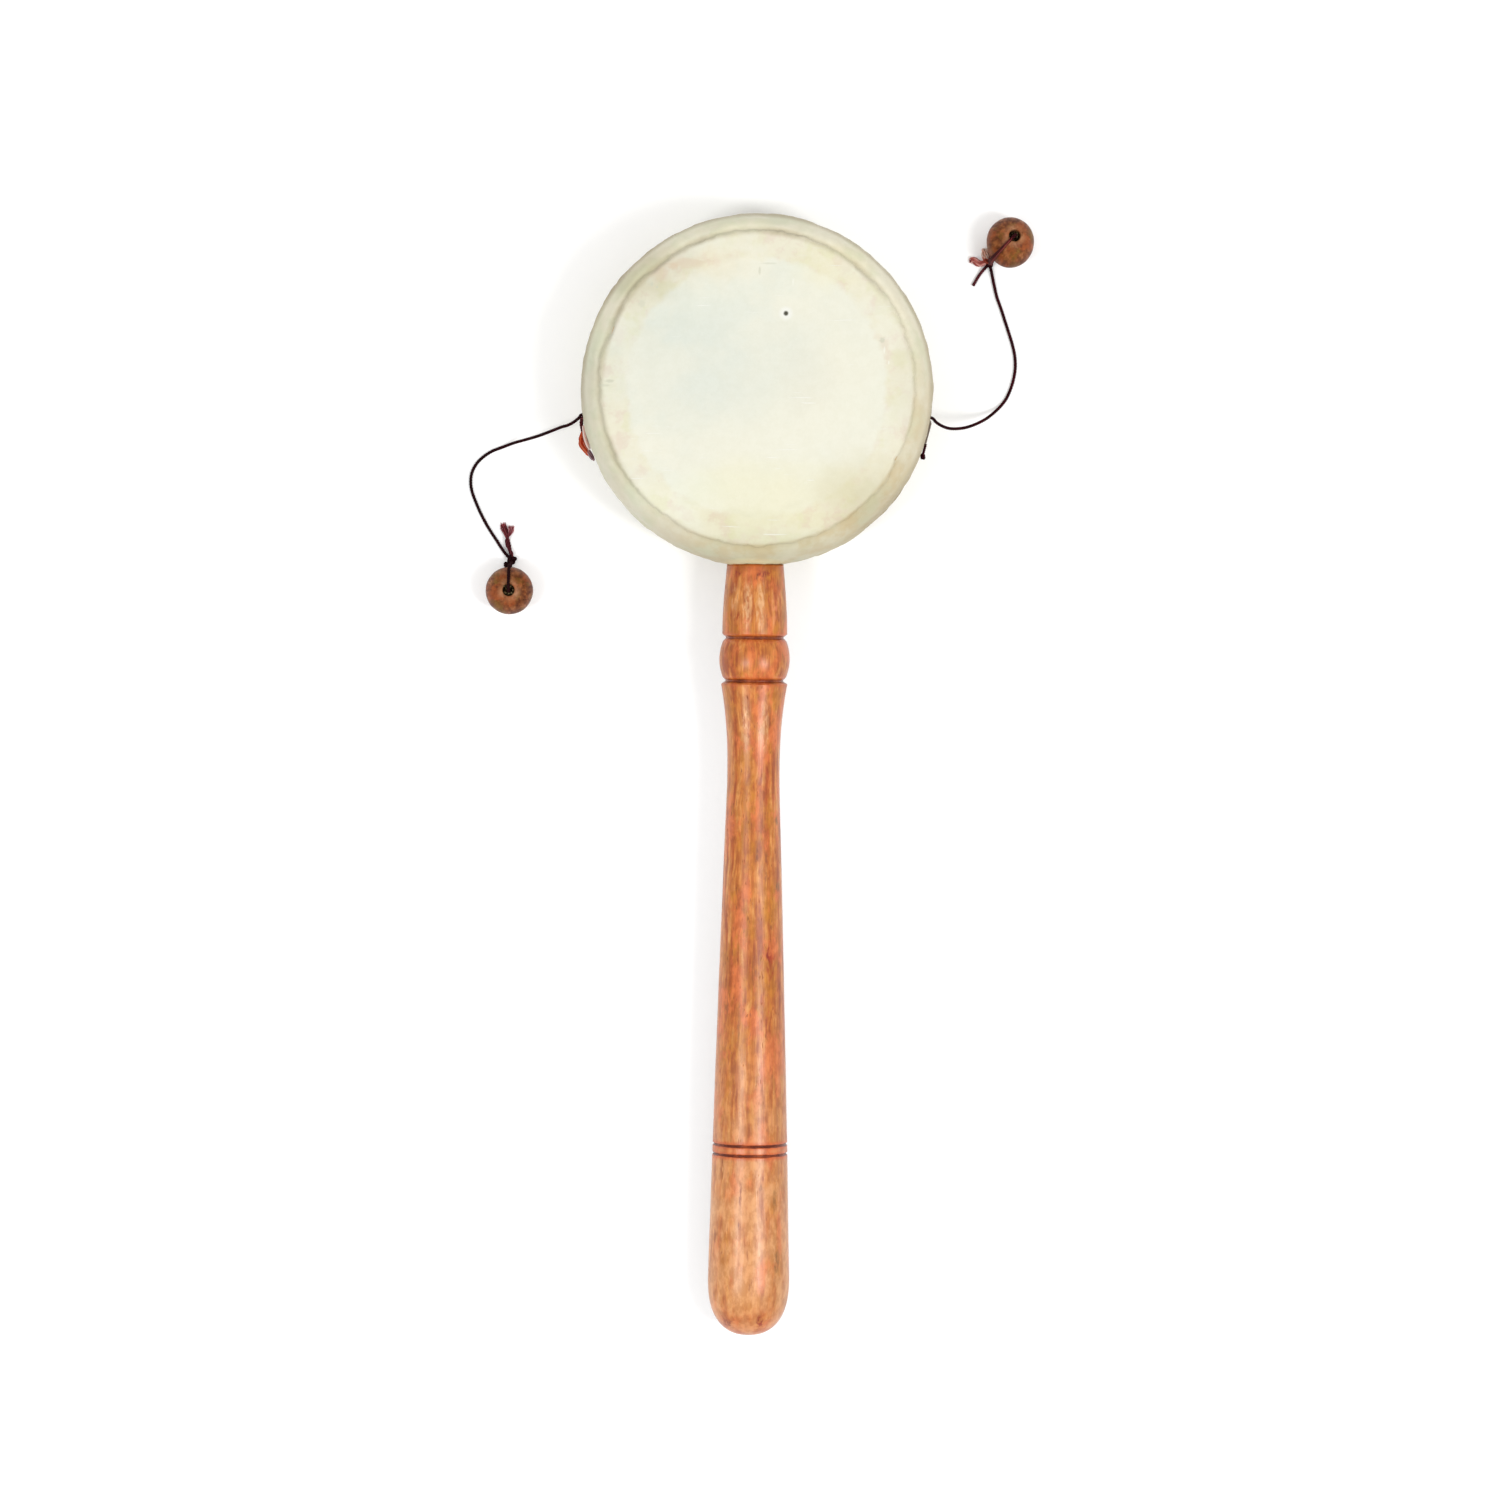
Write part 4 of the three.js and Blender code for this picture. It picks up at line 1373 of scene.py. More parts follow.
    def work_skin(self, mesh: bpy.types.Mesh, seed: int) -> None:
        """Gives a skin its small hollows, dents, creases and uneven edges.

        Args:
            mesh: The plain skin, before it is laid down. It is changed.
            seed: Gives the same unevenness each time.
        """
        corners = corners_of(mesh)
        outer = attribute_of(mesh, "outer") > 0.5
        normals = np.array([vertex.normal for vertex in mesh.vertices])
        x, y, z = corners.T
        distance = np.hypot(x, y)
        angle = np.arctan2(y, x)
        round_x, round_y = self.radius * np.cos(angle), self.radius * np.sin(angle)
        swell = Unevenness(16 * MM, seed + 3).at(round_x, round_y + z)
        ripple = Unevenness(4 * MM, seed + 4).at(round_x, round_y + 0.5 * z)
        rise = self.face_rise(x, y, seed)
        on_side = ease(distance, self.crease, self.crease + 2 * MM)
        rise += on_side * MM * (0.13 * swell + 0.09 * ripple)
        at_crease = np.exp(-((distance - self.crease) / (0.8 * MM)) ** 2)
        rise += at_crease * MM * np.minimum(0.1 * swell + 0.06 * ripple - 0.1, 0.0)
        corners[outer] += normals[outer] * rise[outer, None]
        sway = np.exp(-((distance - self.crease) / (2.4 * MM)) ** 2) * MM * (0.22 * swell + 0.2 * ripple)
        corners[:, 0] += sway * np.cos(angle)
        corners[:, 1] += sway * np.sin(angle)
        edge = self.seam_width / 2 + MM * (0.22 * swell + 0.14 * ripple)
        self.draw_edge(corners, distance > self.crease, edge)
        set_corners(mesh, corners)

    def face_rise(self, x: Points, y: Points, seed: int) -> Points:
        """How far the face sinks in over the hollow, on the rim and in its dents.

        Args:
            x: Each point's place across the face.
            y: Its place along the face, away from the handle.
            seed: Gives the same unevenness each time.

        Returns:
            The rise of each point, 0 or less.
        """
        distance = np.hypot(x, y)
        broad = Unevenness(22 * MM, seed).at(x, y)
        middling = Unevenness(7 * MM, seed + 1).at(x, y)
        fine = Unevenness(2.6 * MM, seed + 2).at(x, y)
        on_face = 1 - ease(distance, self.face - 0.6 * MM, self.face + 0.2 * MM)
        over_hollow = 1 - ease(distance + 1.1 * MM * middling, self.bore - 1.2 * MM, self.bore + 1.0 * MM)
        rise = (0.05 * MM * broad - 0.13 * MM) * over_hollow * on_face
        rise += on_face * (1 - over_hollow) * 0.04 * MM * (middling + 0.6 * fine - 1.0)
        for dent_x, dent_y, width, length, depth in (
            (-39.4, 1.4, 2.2, 0.9, 0.16), (-30.5, 27.6, 1.5, 1.5, 0.12), (-33.0, 23.5, 1.2, 2.2, 0.14),
            (-27.0, 25.4, 1.8, 0.8, 0.1), (33.1, 13.4, 0.9, 1.8, 0.14), (34.4, 10.2, 0.8, 1.4, -0.12),
            (0.4, 33.2, 0.5, 2.2, 0.1), (-8.2, -24.6, 4.0, 0.4, 0.05), (6.5, -25.0, 3.0, 0.35, 0.05),
            (-24.0, -9.5, 3.5, 0.35, 0.04),
        ):
            away = ((x / MM - dent_x) / width) ** 2 + ((y / MM - dent_y) / length) ** 2
            rise -= depth * MM * np.exp(-away) * on_face
        return np.minimum(rise, 0.0)

    def draw_edge(self, corners: Points, on_skirt: Points, edge: Points) -> None:
        """Draws a skin's lower edge down or up along the side, and clear of the handle.

        Args:
            corners: The skin's corners. They are changed.
            on_skirt: Which of them lie on the side.
            edge: How high above half depth the edge ends there.
        """
        x, y, z = corners.T
        seam = self.seam_width / 2
        reach = 9 * MM
        notch = np.sqrt(np.clip(self.notch_radius**2 - x**2, 0, None)) * (y < 0)
        edge = np.maximum(edge, notch)
        share = 1 - np.clip((z - seam) / (reach - seam), 0, 1)
        height = np.where(on_skirt, z + (edge - seam) * share, z)
        change = np.where(on_skirt, self.side_at(height) / self.side_at(z), 1.0)
        corners[:, 0] *= change
        corners[:, 1] *= change
        corners[:, 2] += height - z


@dataclass
class Handle:
    """The turned stick, along -Y from the drum. Places are distances from the drum's axis."""

    drum: Drum
    tenon_radius: float = 4.5 * MM
    tenon_length: float = 12 * MM
    neck_radius: float = 7.6 * MM
    neck_flare_radius: float = 8.75 * MM
    neck_length: float = 19.3 * MM
    ring_radius: float = 9.5 * MM
    ring_edge_radius: float = 8.5 * MM
    ring_length: float = 11.7 * MM
    groove_width: float = 1.7 * MM
    groove_radius: float = 7.75 * MM
    collar_radius: float = 8.97 * MM
    collar_length: float = 22.3 * MM
    waist_radius: float = 7.06 * MM
    grip_length: float = 140.7 * MM
    palm_radius: float = 11.02 * MM
    butt_length: float = 15.3 * MM
    grip_start: float = 0.04
    grip_bulge: float = 0.2
    butt_fullness: float = 2.4
    line_from_end: float = 52.3 * MM
    line_spacing: float = 2.6 * MM
    line_width: float = 1.1 * MM
    line_depth: float = 0.4 * MM
    sides: int = 96

    def __post_init__(self) -> None:
        """Works out where each stretch starts."""
        self.first_groove = self.drum.radius + self.neck_length
        self.second_groove = self.first_groove + self.ring_length
        self.waist = self.second_groove + self.collar_length
        self.palm = self.waist + self.grip_length
        self.end = self.palm + self.butt_length
        self.lines = [self.end - self.line_from_end, self.end - self.line_from_end + self.line_spacing]

    def plain_radius(self, place: float) -> float:
        """The radius without the fine lines.

        Args:
            place: A distance from the drum's axis.

        Returns:
            The handle's radius there.
        """
        half = self.groove_width / 2
        if place < self.first_groove - half:
            share = (place - self.drum.radius) / (self.neck_length - self.groove_width)
            swell = math.sin(min(share, 1.0) * math.pi / 2)
            return self.neck_radius + (self.neck_flare_radius - self.neck_radius) * swell
        if place < self.first_groove:
            return self.neck_flare_radius
        if place < self.second_groove:
            middle = (self.first_groove + self.second_groove) / 2
            share = min(abs(place - middle) / (self.ring_length / 2 - half), 1.0)
            return self.ring_radius - (self.ring_radius - self.ring_edge_radius) * share**2
        if place < self.waist:
            share = max(place - self.second_groove - half, 0.0) / (self.collar_length - half)
            return self.waist_radius + (self.collar_radius - self.waist_radius) * (1 - share) ** 2
        if place < self.palm:
            share = (place - self.waist) / self.grip_length
            share = max((share - self.grip_start) / (1 - self.grip_start), 0.0)
            swell = share * (1 + self.grip_bulge * (1 - share))
            return self.waist_radius + (self.palm_radius - self.waist_radius) * swell
        share = min((place - self.palm) / self.butt_length, 1.0)
        return self.palm_radius * (1 - share**self.butt_fullness) ** (1 / self.butt_fullness)

    def radius_at(self, place: float) -> float:
        """The radius with grooves and lines cut in."""
        radius = self.plain_radius(place)
        for groove in (self.first_groove, self.second_groove):
            radius -= (radius - self.groove_radius) * self.cut(place - groove, 1.3 * self.groove_width)
        for line in self.lines:
            radius -= self.line_depth * self.cut(place - line, self.line_width)
        return radius

    @staticmethod
    def cut(away: float, width: float) -> float:
        """How deep a round-edged cut is at a distance from its middle, as a share of its depth."""
        return (1 + math.cos(2 * math.pi * min(abs(away) / width, 0.5))) / 2

    def stations(self) -> Points:
        """Points of (radius, place) along the surface, closer together in the grooves."""
        cuts = [*self.lines, self.first_groove, self.second_groove]
        places = [self.drum.radius]
        while places[-1] < self.palm:
            near = min(abs(places[-1] - cut) for cut in cuts) < self.groove_width
            places.append(places[-1] + (0.11 if near else 0.6) * MM)
        butt = self.palm + self.butt_length * np.sin(np.linspace(0, math.pi / 2, 40))
        places = [*places[:-1], *butt]
        return np.array([(self.radius_at(place), place) for place in places])

    def build(self) -> None:
        """Makes the handle."""
        drum = self.drum
        tip = drum.radius - self.tenon_length
        chamfer = 0.5 * MM
        tenon = np.array([
            (0, tip), (self.tenon_radius - chamfer, tip), (self.tenon_radius, tip + chamfer),
            (self.tenon_radius, drum.radius - 2 * MM), (self.tenon_radius, drum.radius)])
        flange = np.linspace(self.tenon_radius, self.neck_radius, 8, endpoint=False)[1:]
        flange = np.column_stack([flange, np.full(len(flange), drum.radius)])
        stations = self.stations()
        stations[-1, 0] = 0.0
        finish = HandleFinish(
            "handle wood", centre=tuple(drum.pose.centre), turn=(drum.pose.tilt, 0, 0),
            burns=self.burns(), marks=self.marks(), drum_side=drum.radius, butt_start=self.palm + 2 * MM)
        mesh = grown(
            line_mesh("handle", np.vstack([tenon, flange, stations])), turned_tree(), Sides=self.sides,
            Unevenness=0.16 * MM, Unevenness_Size=14 * MM, Seed=3.0, Finish=finish.material())
        self.cope(mesh)
        mesh.transform(Matrix.Rotation(math.pi / 2, 4, "X"))
        put("handle_turned", drum.pose.laid(mesh), Slot.HANDLE, "handle")

    def cope(self, mesh: bpy.types.Mesh) -> None:
        """Fits the neck's end to the drum's round side. The mesh still stands along +Z."""
        drum = self.drum
        corners = corners_of(mesh)
        x, y, place = corners.T
        side = np.sqrt(drum.side_at(y) ** 2 - x**2) + drum.glue
        start = drum.radius - 0.3 * MM
        share = (1 - ease(place, drum.radius + 0.5 * MM, drum.radius + 5 * MM)) * (place > start)
        corners[:, 2] += (side - drum.radius) * share
        set_corners(mesh, corners)

    def burns(self) -> tuple[Burn, ...]:
        """The burnt lines in the grooves."""
        return (
            Burn(self.first_groove, 0.55 * MM, 0.55),
            Burn(self.second_groove, 0.6 * MM, 0.6),
            *(Burn(line, 0.42 * MM, 0.75, reddened=0.8) for line in self.lines))

    def marks(self) -> tuple[Mark, ...]:
        """The stains and dark streaks that show on the upper side, with painted shadow of the drum's edge
        by the neck and painted highlights on the neck and collar.
        """
        red, brown, olive = srgb(172, 60, 14), srgb(150, 78, 34), srgb(144, 98, 44)
        pale = srgb(242, 184, 128)
        # The rows at 49.6 to 50.6 mm are painted shadow of the drum's edge, and the pale and pink rows at
        # 57 to 59 mm and at 90 mm are painted highlights.
        rows = (
            (-1.9, 58.0, 1.5, 6.5, pale, 0.75), (1.5, 58.5, 1.3, 7.0, pale, 0.75),
            (5.2, 59.0, 1.2, 5.0, srgb(238, 146, 98), 0.6), (-5.4, 57.0, 1.2, 5.0, pale, 0.45),
            (-4.6, 61.9, 1.1, 2.4, srgb(172, 72, 16), 0.9), (2.4, 49.6, 2.2, 1.0, srgb(150, 48, 12), 0.85),
            (-4.8, 49.8, 1.2, 1.0, srgb(150, 48, 12), 0.85), (0.6, 50.6, 0.4, 1.3, brown, 0.8),
            (-2.2, 90.0, 1.5, 8.0, pale, 0.6), (3.0, 90.0, 1.5, 8.0, pale, 0.5),
            (1.2, 125.9, 0.5, 4.2, brown, 0.75), (3.7, 128.8, 0.6, 4.6, brown, 0.8),
            (4.7, 152.6, 0.9, 2.4, srgb(150, 34, 6), 1.0), (5.3, 155.6, 1.3, 4.0, red, 0.75),
            (6.5, 116.4, 0.5, 1.4, olive, 0.9), (6.9, 134.5, 0.6, 1.6, olive, 0.9),
            (-6.6, 167.5, 0.8, 3.8, brown, 0.7), (-3.2, 170.5, 0.45, 6.0, olive, 0.7),
            (0.6, 158.2, 0.8, 5.5, brown, 0.6), (1.0, 166.0, 0.6, 7.0, red, 0.4),
            (-2.4, 218.0, 0.5, 4.2, brown, 0.8), (-2.6, 225.6, 0.6, 1.6, brown, 0.8),
            (-7.6, 233.4, 0.6, 2.2, brown, 0.7), (-9.2, 229.6, 0.7, 2.4, brown, 0.6),
            (-0.1, 232.9, 0.5, 3.0, brown, 0.7), (0.7, 242.5, 0.9, 2.6, brown, 0.5),
            (7.6, 236.2, 0.9, 3.6, olive, 0.7), (-7.3, 210.8, 0.6, 3.2, brown, 0.8),
            (3.1, 215.9, 0.4, 1.2, olive, 0.7), (6.8, 219.3, 0.6, 3.6, olive, 0.6),
            (3.2, 252.1, 1.0, 2.2, srgb(150, 44, 14), 0.85),
            (-5.7, 253.0, 1.6, 1.4, srgb(140, 50, 24), 0.8),
            (2.1, 78.8, 3.2, 0.9, srgb(150, 40, 8), 0.9), (4.2, 88.0, 0.7, 3.6, brown, 0.5),
            (-5.0, 87.2, 0.8, 2.0, brown, 0.6), (3.9, 104.0, 0.6, 9.0, red, 0.45),
        )
        marks = []
        for across, place, half_width, half_length, colour, share in rows:
            radius = self.radius_at(place * MM)
            height = math.sqrt(max(radius**2 - (across * MM) ** 2, 0))
            radii = (half_width * MM, half_length * MM, 3 * half_width * MM)
            marks.append(Mark((across * MM, -place * MM, height), radii, colour, share, raggedness=1.5))
        return tuple(marks)


@dataclass(frozen=True)
class Lay:
    """How one string lies, in millimetres from its hole: outwards, along +Y, and share of its height."""

    side: Side
    route: tuple[tuple[float, float, float], ...]
    knot: tuple[float, float]
    bead: tuple[float, float]
    bore_lean: float
    tail: tuple[tuple[float, float], ...]
    length: float
    lint_height: float
    crown: Colour
    bead_stretch: float = 1.0


RIGHT_LAY = Lay(
    Side.RIGHT,
    route=(
        (1.5, -0.75, 0.99), (2.9, -1.6, 0.95), (4.5, -2.15, 0.88), (6.2, -2.3, 0.8), (9.5, -1.8, 0.61),
        (13, -0.4, 0.38), (16.4, 1.7, 0.16), (19.8, 4.9, 0.01), (21.4, 7.1, 0), (23, 11.2, 0),
        (23.7, 15.1, 0), (23.6, 18.4, 0), (22.9, 21.7, 0), (21.9, 24.9, 0), (20.8, 28.2, 0),
        (19.7, 31.5, 0), (18.5, 34.8, 0), (17.7, 38.1, 0), (17, 41.4, 0.01)),
    knot=(16.4, 44.1), bead=(21.7, 49.6), bore_lean=math.radians(13.7),
    tail=((-2.6, -3), (-4.5, -6.2)), length=123 * MM, lint_height=4.2 * MM,
    crown=srgb(88, 6, 26), bead_stretch=1.13)
LEFT_LAY = Lay(
    Side.LEFT,
    route=(
        (1, -0.4, 0.99), (2.5, -1.6, 0.96), (4.1, -2.4, 0.9), (5.8, -2.8, 0.82), (9.2, -3.9, 0.62),
        (12.6, -4.9, 0.4), (16, -5.7, 0.2), (19.4, -6.5, 0.05), (22.7, -7.7, 0), (26, -9.1, 0),
        (29.3, -11.8, 0), (30.9, -14.7, 0), (31.2, -17.1, 0), (30.9, -19.6, 0), (29.7, -22.9, 0),
        (28.2, -26.2, 0), (26.4, -29.5, 0), (24.3, -32.7, 0), (22.1, -36, 0.01)),
    knot=(20, -38.7), bead=(20, -47.2), bore_lean=0.0,
    tail=((0.2, 3), (1, 6.3), (2.3, 10)), length=125 * MM, lint_height=5.4 * MM,
    crown=srgb(62, 10, 20))


@dataclass(frozen=True)
class Bundle:
    """Loose fibres: their number, thickness, spread at start, middle and end, and curl, in millimetres."""

    count: int
    thickness: float
    spreads: tuple[float, float, float]
    curl: float


@dataclass
class BeadString:
    """A cord with its bead, its knot, its loose tails and the end tied at the drum's side."""

    drum: Drum
    lay: Lay
    cord_radius: float = 0.46 * MM
    cord_in_hole: float = 5 * MM
    pressed: float = 0.75
    bead_radius: float = 6.55 * MM
    bead_bore: float = 1.5 * MM
    bead_sides: int = 96
    cord_turn: float = 1.9 * MM
    slack: float = 0.08 * MM
    above_floor: float = 0.08 * MM
    bead_lift: float = 0.2 * MM
    tail_step: float = 3.3 * MM
    knot_height: float = 1.3 * MM
    pitch: float = 2.3 * MM
    plies: int = 3

    def __post_init__(self) -> None:
        """Works out the hole, the knot and the bead's place."""
        self.word = self.lay.side.name.lower()
        self.hole = self.drum.hole(self.lay.side, self.drum.radius)
        self.on_floor = self.cord_radius + self.above_floor
        self.knot = self.place(*self.lay.knot, self.knot_height)
        self.over = self.bead_radius + self.cord_radius + self.slack
        self.under = math.sqrt(self.bead_radius**2 - self.bead_bore**2) + self.cord_radius + self.slack
        self.bead = self.place(*self.lay.bead, self.on_floor + self.under + self.bead_lift)
        self.path = self.cord_path()
        tail_start = line_length(self.path) - len(self.lay.tail) * self.tail_step
        self.cord_finish = CordFinish(
            f"cord {self.word}", loose_from=tail_start, crown=self.lay.crown).material()
        self.red_finish = CordFinish(f"red cord {self.word}", loose_from=-1.0).material()

    def place(self, out: float, along: float, height: float) -> Vector:
        """A point by its distances from the hole in millimetres, and its height in metres."""
        return Vector((self.hole.x + self.lay.side.value * out * MM, self.hole.y + along * MM, height))

    def from_knot(self, *stops: tuple[float, float, float]) -> Points:
        """A line through stops counted from the knot.

        Args:
            stops: How far out, along +Y and up each one is, in millimetres.

        Returns:
            The line's points.
        """
        knot_x, knot_y = self.lay.knot
        points = [self.place(knot_x + out, knot_y + along, height * MM) for out, along, height in stops]
        return smooth_line(points, 0.3 * MM)

    def bead_loop(self) -> list[Vector]:
        """The cord's way from the knot over the bead, down its bore and back underneath."""
        towards_knot = self.knot - self.bead
        towards_knot.z = 0
        knot_distance = towards_knot.length
        towards_knot.normalize()
        hug = (self.bead_bore - self.cord_radius - self.slack) / 2
        turned_in = self.cord_turn - hug
        corner = self.cord_turn * math.sqrt(0.5)
        turn = self.cord_turn
        flat = [
            (self.over * math.sin(angle), self.over * math.cos(angle))
            for angle in np.linspace(math.pi / 2, math.pi / 6, 5)]
        flat += [
            (turned_in, self.over), (turned_in - corner, self.over - turn + corner),
            (-hug, self.over - turn), (-hug, 0), (-hug, turn - self.under),
            (turned_in - corner, turn - corner - self.under), (turned_in, -self.under),
            (knot_distance / 2, -self.under)]
        sin, cos = math.sin(self.lay.bore_lean), math.cos(self.lay.bore_lean)
        return [
            self.bead + towards_knot * (out * cos - up * sin) + Vector((0, 0, out * sin + up * cos))
            for out, up in flat]

    def cord_path(self) -> Points:
        """The cord's whole line, from inside the drum to the end of its tail."""
        beside = -self.cord_radius * self.pressed
        side, drum = self.lay.side, self.drum
        start = [
            drum.hole(side, drum.radius - self.cord_in_hole, beside),
            drum.hole(side, drum.radius + self.cord_radius, beside)]
        route = [
            self.place(out, along, self.on_floor + share * (self.hole.z - self.on_floor))
            for out, along, share in self.lay.route]
        knot_x, knot_y = self.lay.knot
        tail = [self.place(knot_x + out, knot_y + along, self.on_floor) for out, along in self.lay.tail]
        loop = self.bead_loop()
        for point in loop:
            point.z = max(point.z, self.on_floor)
        return smooth_line([*start, *route, self.knot, *loop, self.knot, *tail], 0.4 * MM)

    def rope(
        self, name: str, path: Points, radius: float, closed: bool = False, pitch: float = 0.0,
        red: bool = False, groove: float = 0.24,
    ) -> bpy.types.Mesh:
        """A laid cord as a mesh.

        Args:
            name: The mesh's name.
            path: Its line.
            radius: Half its thickness.
            closed: Whether it joins itself.
            pitch: The length of one full turn of its plies, or 0 for the cord's own.
            red: Whether it has the redder finish of a loose end.
            groove: How deep it is between the plies, as a share of the radius.

        Returns:
            The mesh.
        """
        return grown(
            line_mesh(name, path, closed), rope_tree(), Radius=radius, Plies=self.plies, Groove=groove,
            Pitch=pitch or self.pitch, Step=0.22 * MM, Finish=self.red_finish if red else self.cord_finish)

    def knot_piece(self, name: str, centre: Vector, size: float, turn: Sequence[float]) -> bpy.types.Object:
        """A tight knot: the cord along a trefoil.

        Args:
            name: The piece's name.
            centre: Its middle.
            size: The trefoil's size, a third of its width without the cord's own.
            turn: How it is turned about each axis.

        Returns:
            The piece.
        """
        angles = np.linspace(0, 2 * math.pi, 90, endpoint=False)
        path = size * np.column_stack([
            (2 + np.cos(3 * angles)) * np.cos(2 * angles), (2 + np.cos(3 * angles)) * np.sin(2 * angles),
            1.6 * np.sin(3 * angles)])
        path = path @ np.array(Euler(turn).to_matrix()).T + np.array(centre)
        path[:, 2] = np.maximum(path[:, 2], self.on_floor)
        return put(name, self.rope(name, path, self.cord_radius * 0.9, closed=True), Slot.CORD)

    def make_bead(self) -> bpy.types.Object:
        """The turned bead with its bore, drawn out a little towards the handle if it is egg-shaped."""
        rim = math.asin(self.bead_bore / self.bead_radius)
        angles = np.linspace(math.pi / 2 - rim, rim - math.pi / 2, 70)
        ball = self.bead_radius * np.column_stack([np.cos(angles), np.sin(angles)])
        heights = np.linspace(ball[-1, 1], ball[0, 1], 14)[1:-1]
        bore = np.column_stack([np.full(len(heights), self.bead_bore), heights])
        line = np.vstack([ball, bore])
        split = len(ball) // 2
        line = np.roll(softened(np.roll(line, split, axis=0), 2), -split, axis=0)
        towards_knot = self.knot - self.bead
        heading = math.atan2(towards_knot.y, towards_knot.x)
        stance = Matrix.Rotation(heading, 4, "Z") @ Matrix.Rotation(-self.lay.bore_lean, 4, "Y")
        upright = stance @ Matrix.Rotation(math.pi / 2, 4, "X")
        finish = BeadFinish(
            f"bead wood {self.word}", centre=tuple(self.bead), turn=tuple(upright.to_euler()),
            bore=self.bead_bore, radius=self.bead_radius)
        mesh = grown(
            line_mesh("bead", line, closed=True), turned_tree(), Sides=self.bead_sides,
            Unevenness=0.22 * MM, Unevenness_Size=5 * MM, Seed=5.0 + self.lay.side.value,
            Finish=finish.material())
        mesh.transform(Matrix.Translation(self.bead) @ stance)
        corners = corners_of(mesh)
        corners[:, 1] += np.minimum(corners[:, 1] - self.bead.y, 0) * (self.lay.bead_stretch - 1)
        set_corners(mesh, corners)
        return put(f"bead_{self.word}_turned", mesh, Slot.BEAD, f"bead_{self.word}")

    def frayed(self, name: str, path: Points, finish: FrayFinish, bundle: Bundle) -> bpy.types.Object:
        """A bundle of loose fibres along a line, as a piece.

        Args:
            name: The piece's name.
            path: The line.
            finish: The fibres' finish.
            bundle: How many there are, and how they lie.

        Returns:
            The piece.
        """
        start, middle, end = (spread * MM for spread in bundle.spreads)
        mesh = grown(
            line_mesh(name, path), fibre_tree(), Count=bundle.count, Thickness=bundle.thickness * MM,
            Start_Spread=start, Middle_Spread=middle, End_Spread=end, Curl=bundle.curl * MM,
            Step=0.35 * MM, Seed=7 + self.lay.side.value, Finish=finish.material())
        return put(name, mesh, Slot.CORD)

    def build(self) -> None:
        name = f"cord_{self.word}_laid"
        cord = put(name, self.rope(name, self.path, self.cord_radius), Slot.CORD, f"cord_{self.word}")
        pieces = [self.make_bead(), self.bore_lint(), *self.knots(), *self.loose_ends(), *self.tied_end()]
        LOG.info("%s: %.1f mm along its line", name, line_length(self.path) / MM)

    def bore_lint(self) -> bpy.types.Object:
        """Dark lint that has gathered round the cord in the bead's bore."""
        lean = Vector((-math.sin(self.lay.bore_lean), 0, math.cos(self.lay.bore_lean)))
        towards_knot = self.knot - self.bead
        lean.rotate(Matrix.Rotation(math.atan2(towards_knot.y, towards_knot.x), 3, "Z"))
        ends = (self.bead - lean * 3 * MM, self.bead + lean * self.lay.lint_height)
        dark = FrayFinish(f"lint {self.word}", dye=Dye.LINT, gloss=0.0)
        return self.frayed(
            f"lint_{self.word}", even_steps(np.array(ends), 0.5 * MM), dark,
            Bundle(170, 0.34, (1.2, 1.2, 1.2), 0.3))

    def knots(self) -> list[bpy.types.Object]:
        """The lumps of the knot beside the bead."""
        raise NotImplementedError

    def loose_ends(self) -> list[bpy.types.Object]:
        """The tails beside the cord's own."""
        raise NotImplementedError

    def tied_end(self) -> list[bpy.types.Object]:
        """The cord's other end, which comes out of the hole again and lies along the side."""
        raise NotImplementedError

    def side_line(self, *stops: tuple[float, float, float]) -> Points:
        """A line along the drum's side.

        Args:
            stops: How far round, off the side and up each point is, in millimetres.

        Returns:
            The line's points.
        """
        points = [
            self.drum.hole(self.lay.side, self.drum.radius + off * MM, round_side * MM, up * MM)
            for round_side, off, up in stops]
        return smooth_line(points, 0.3 * MM)


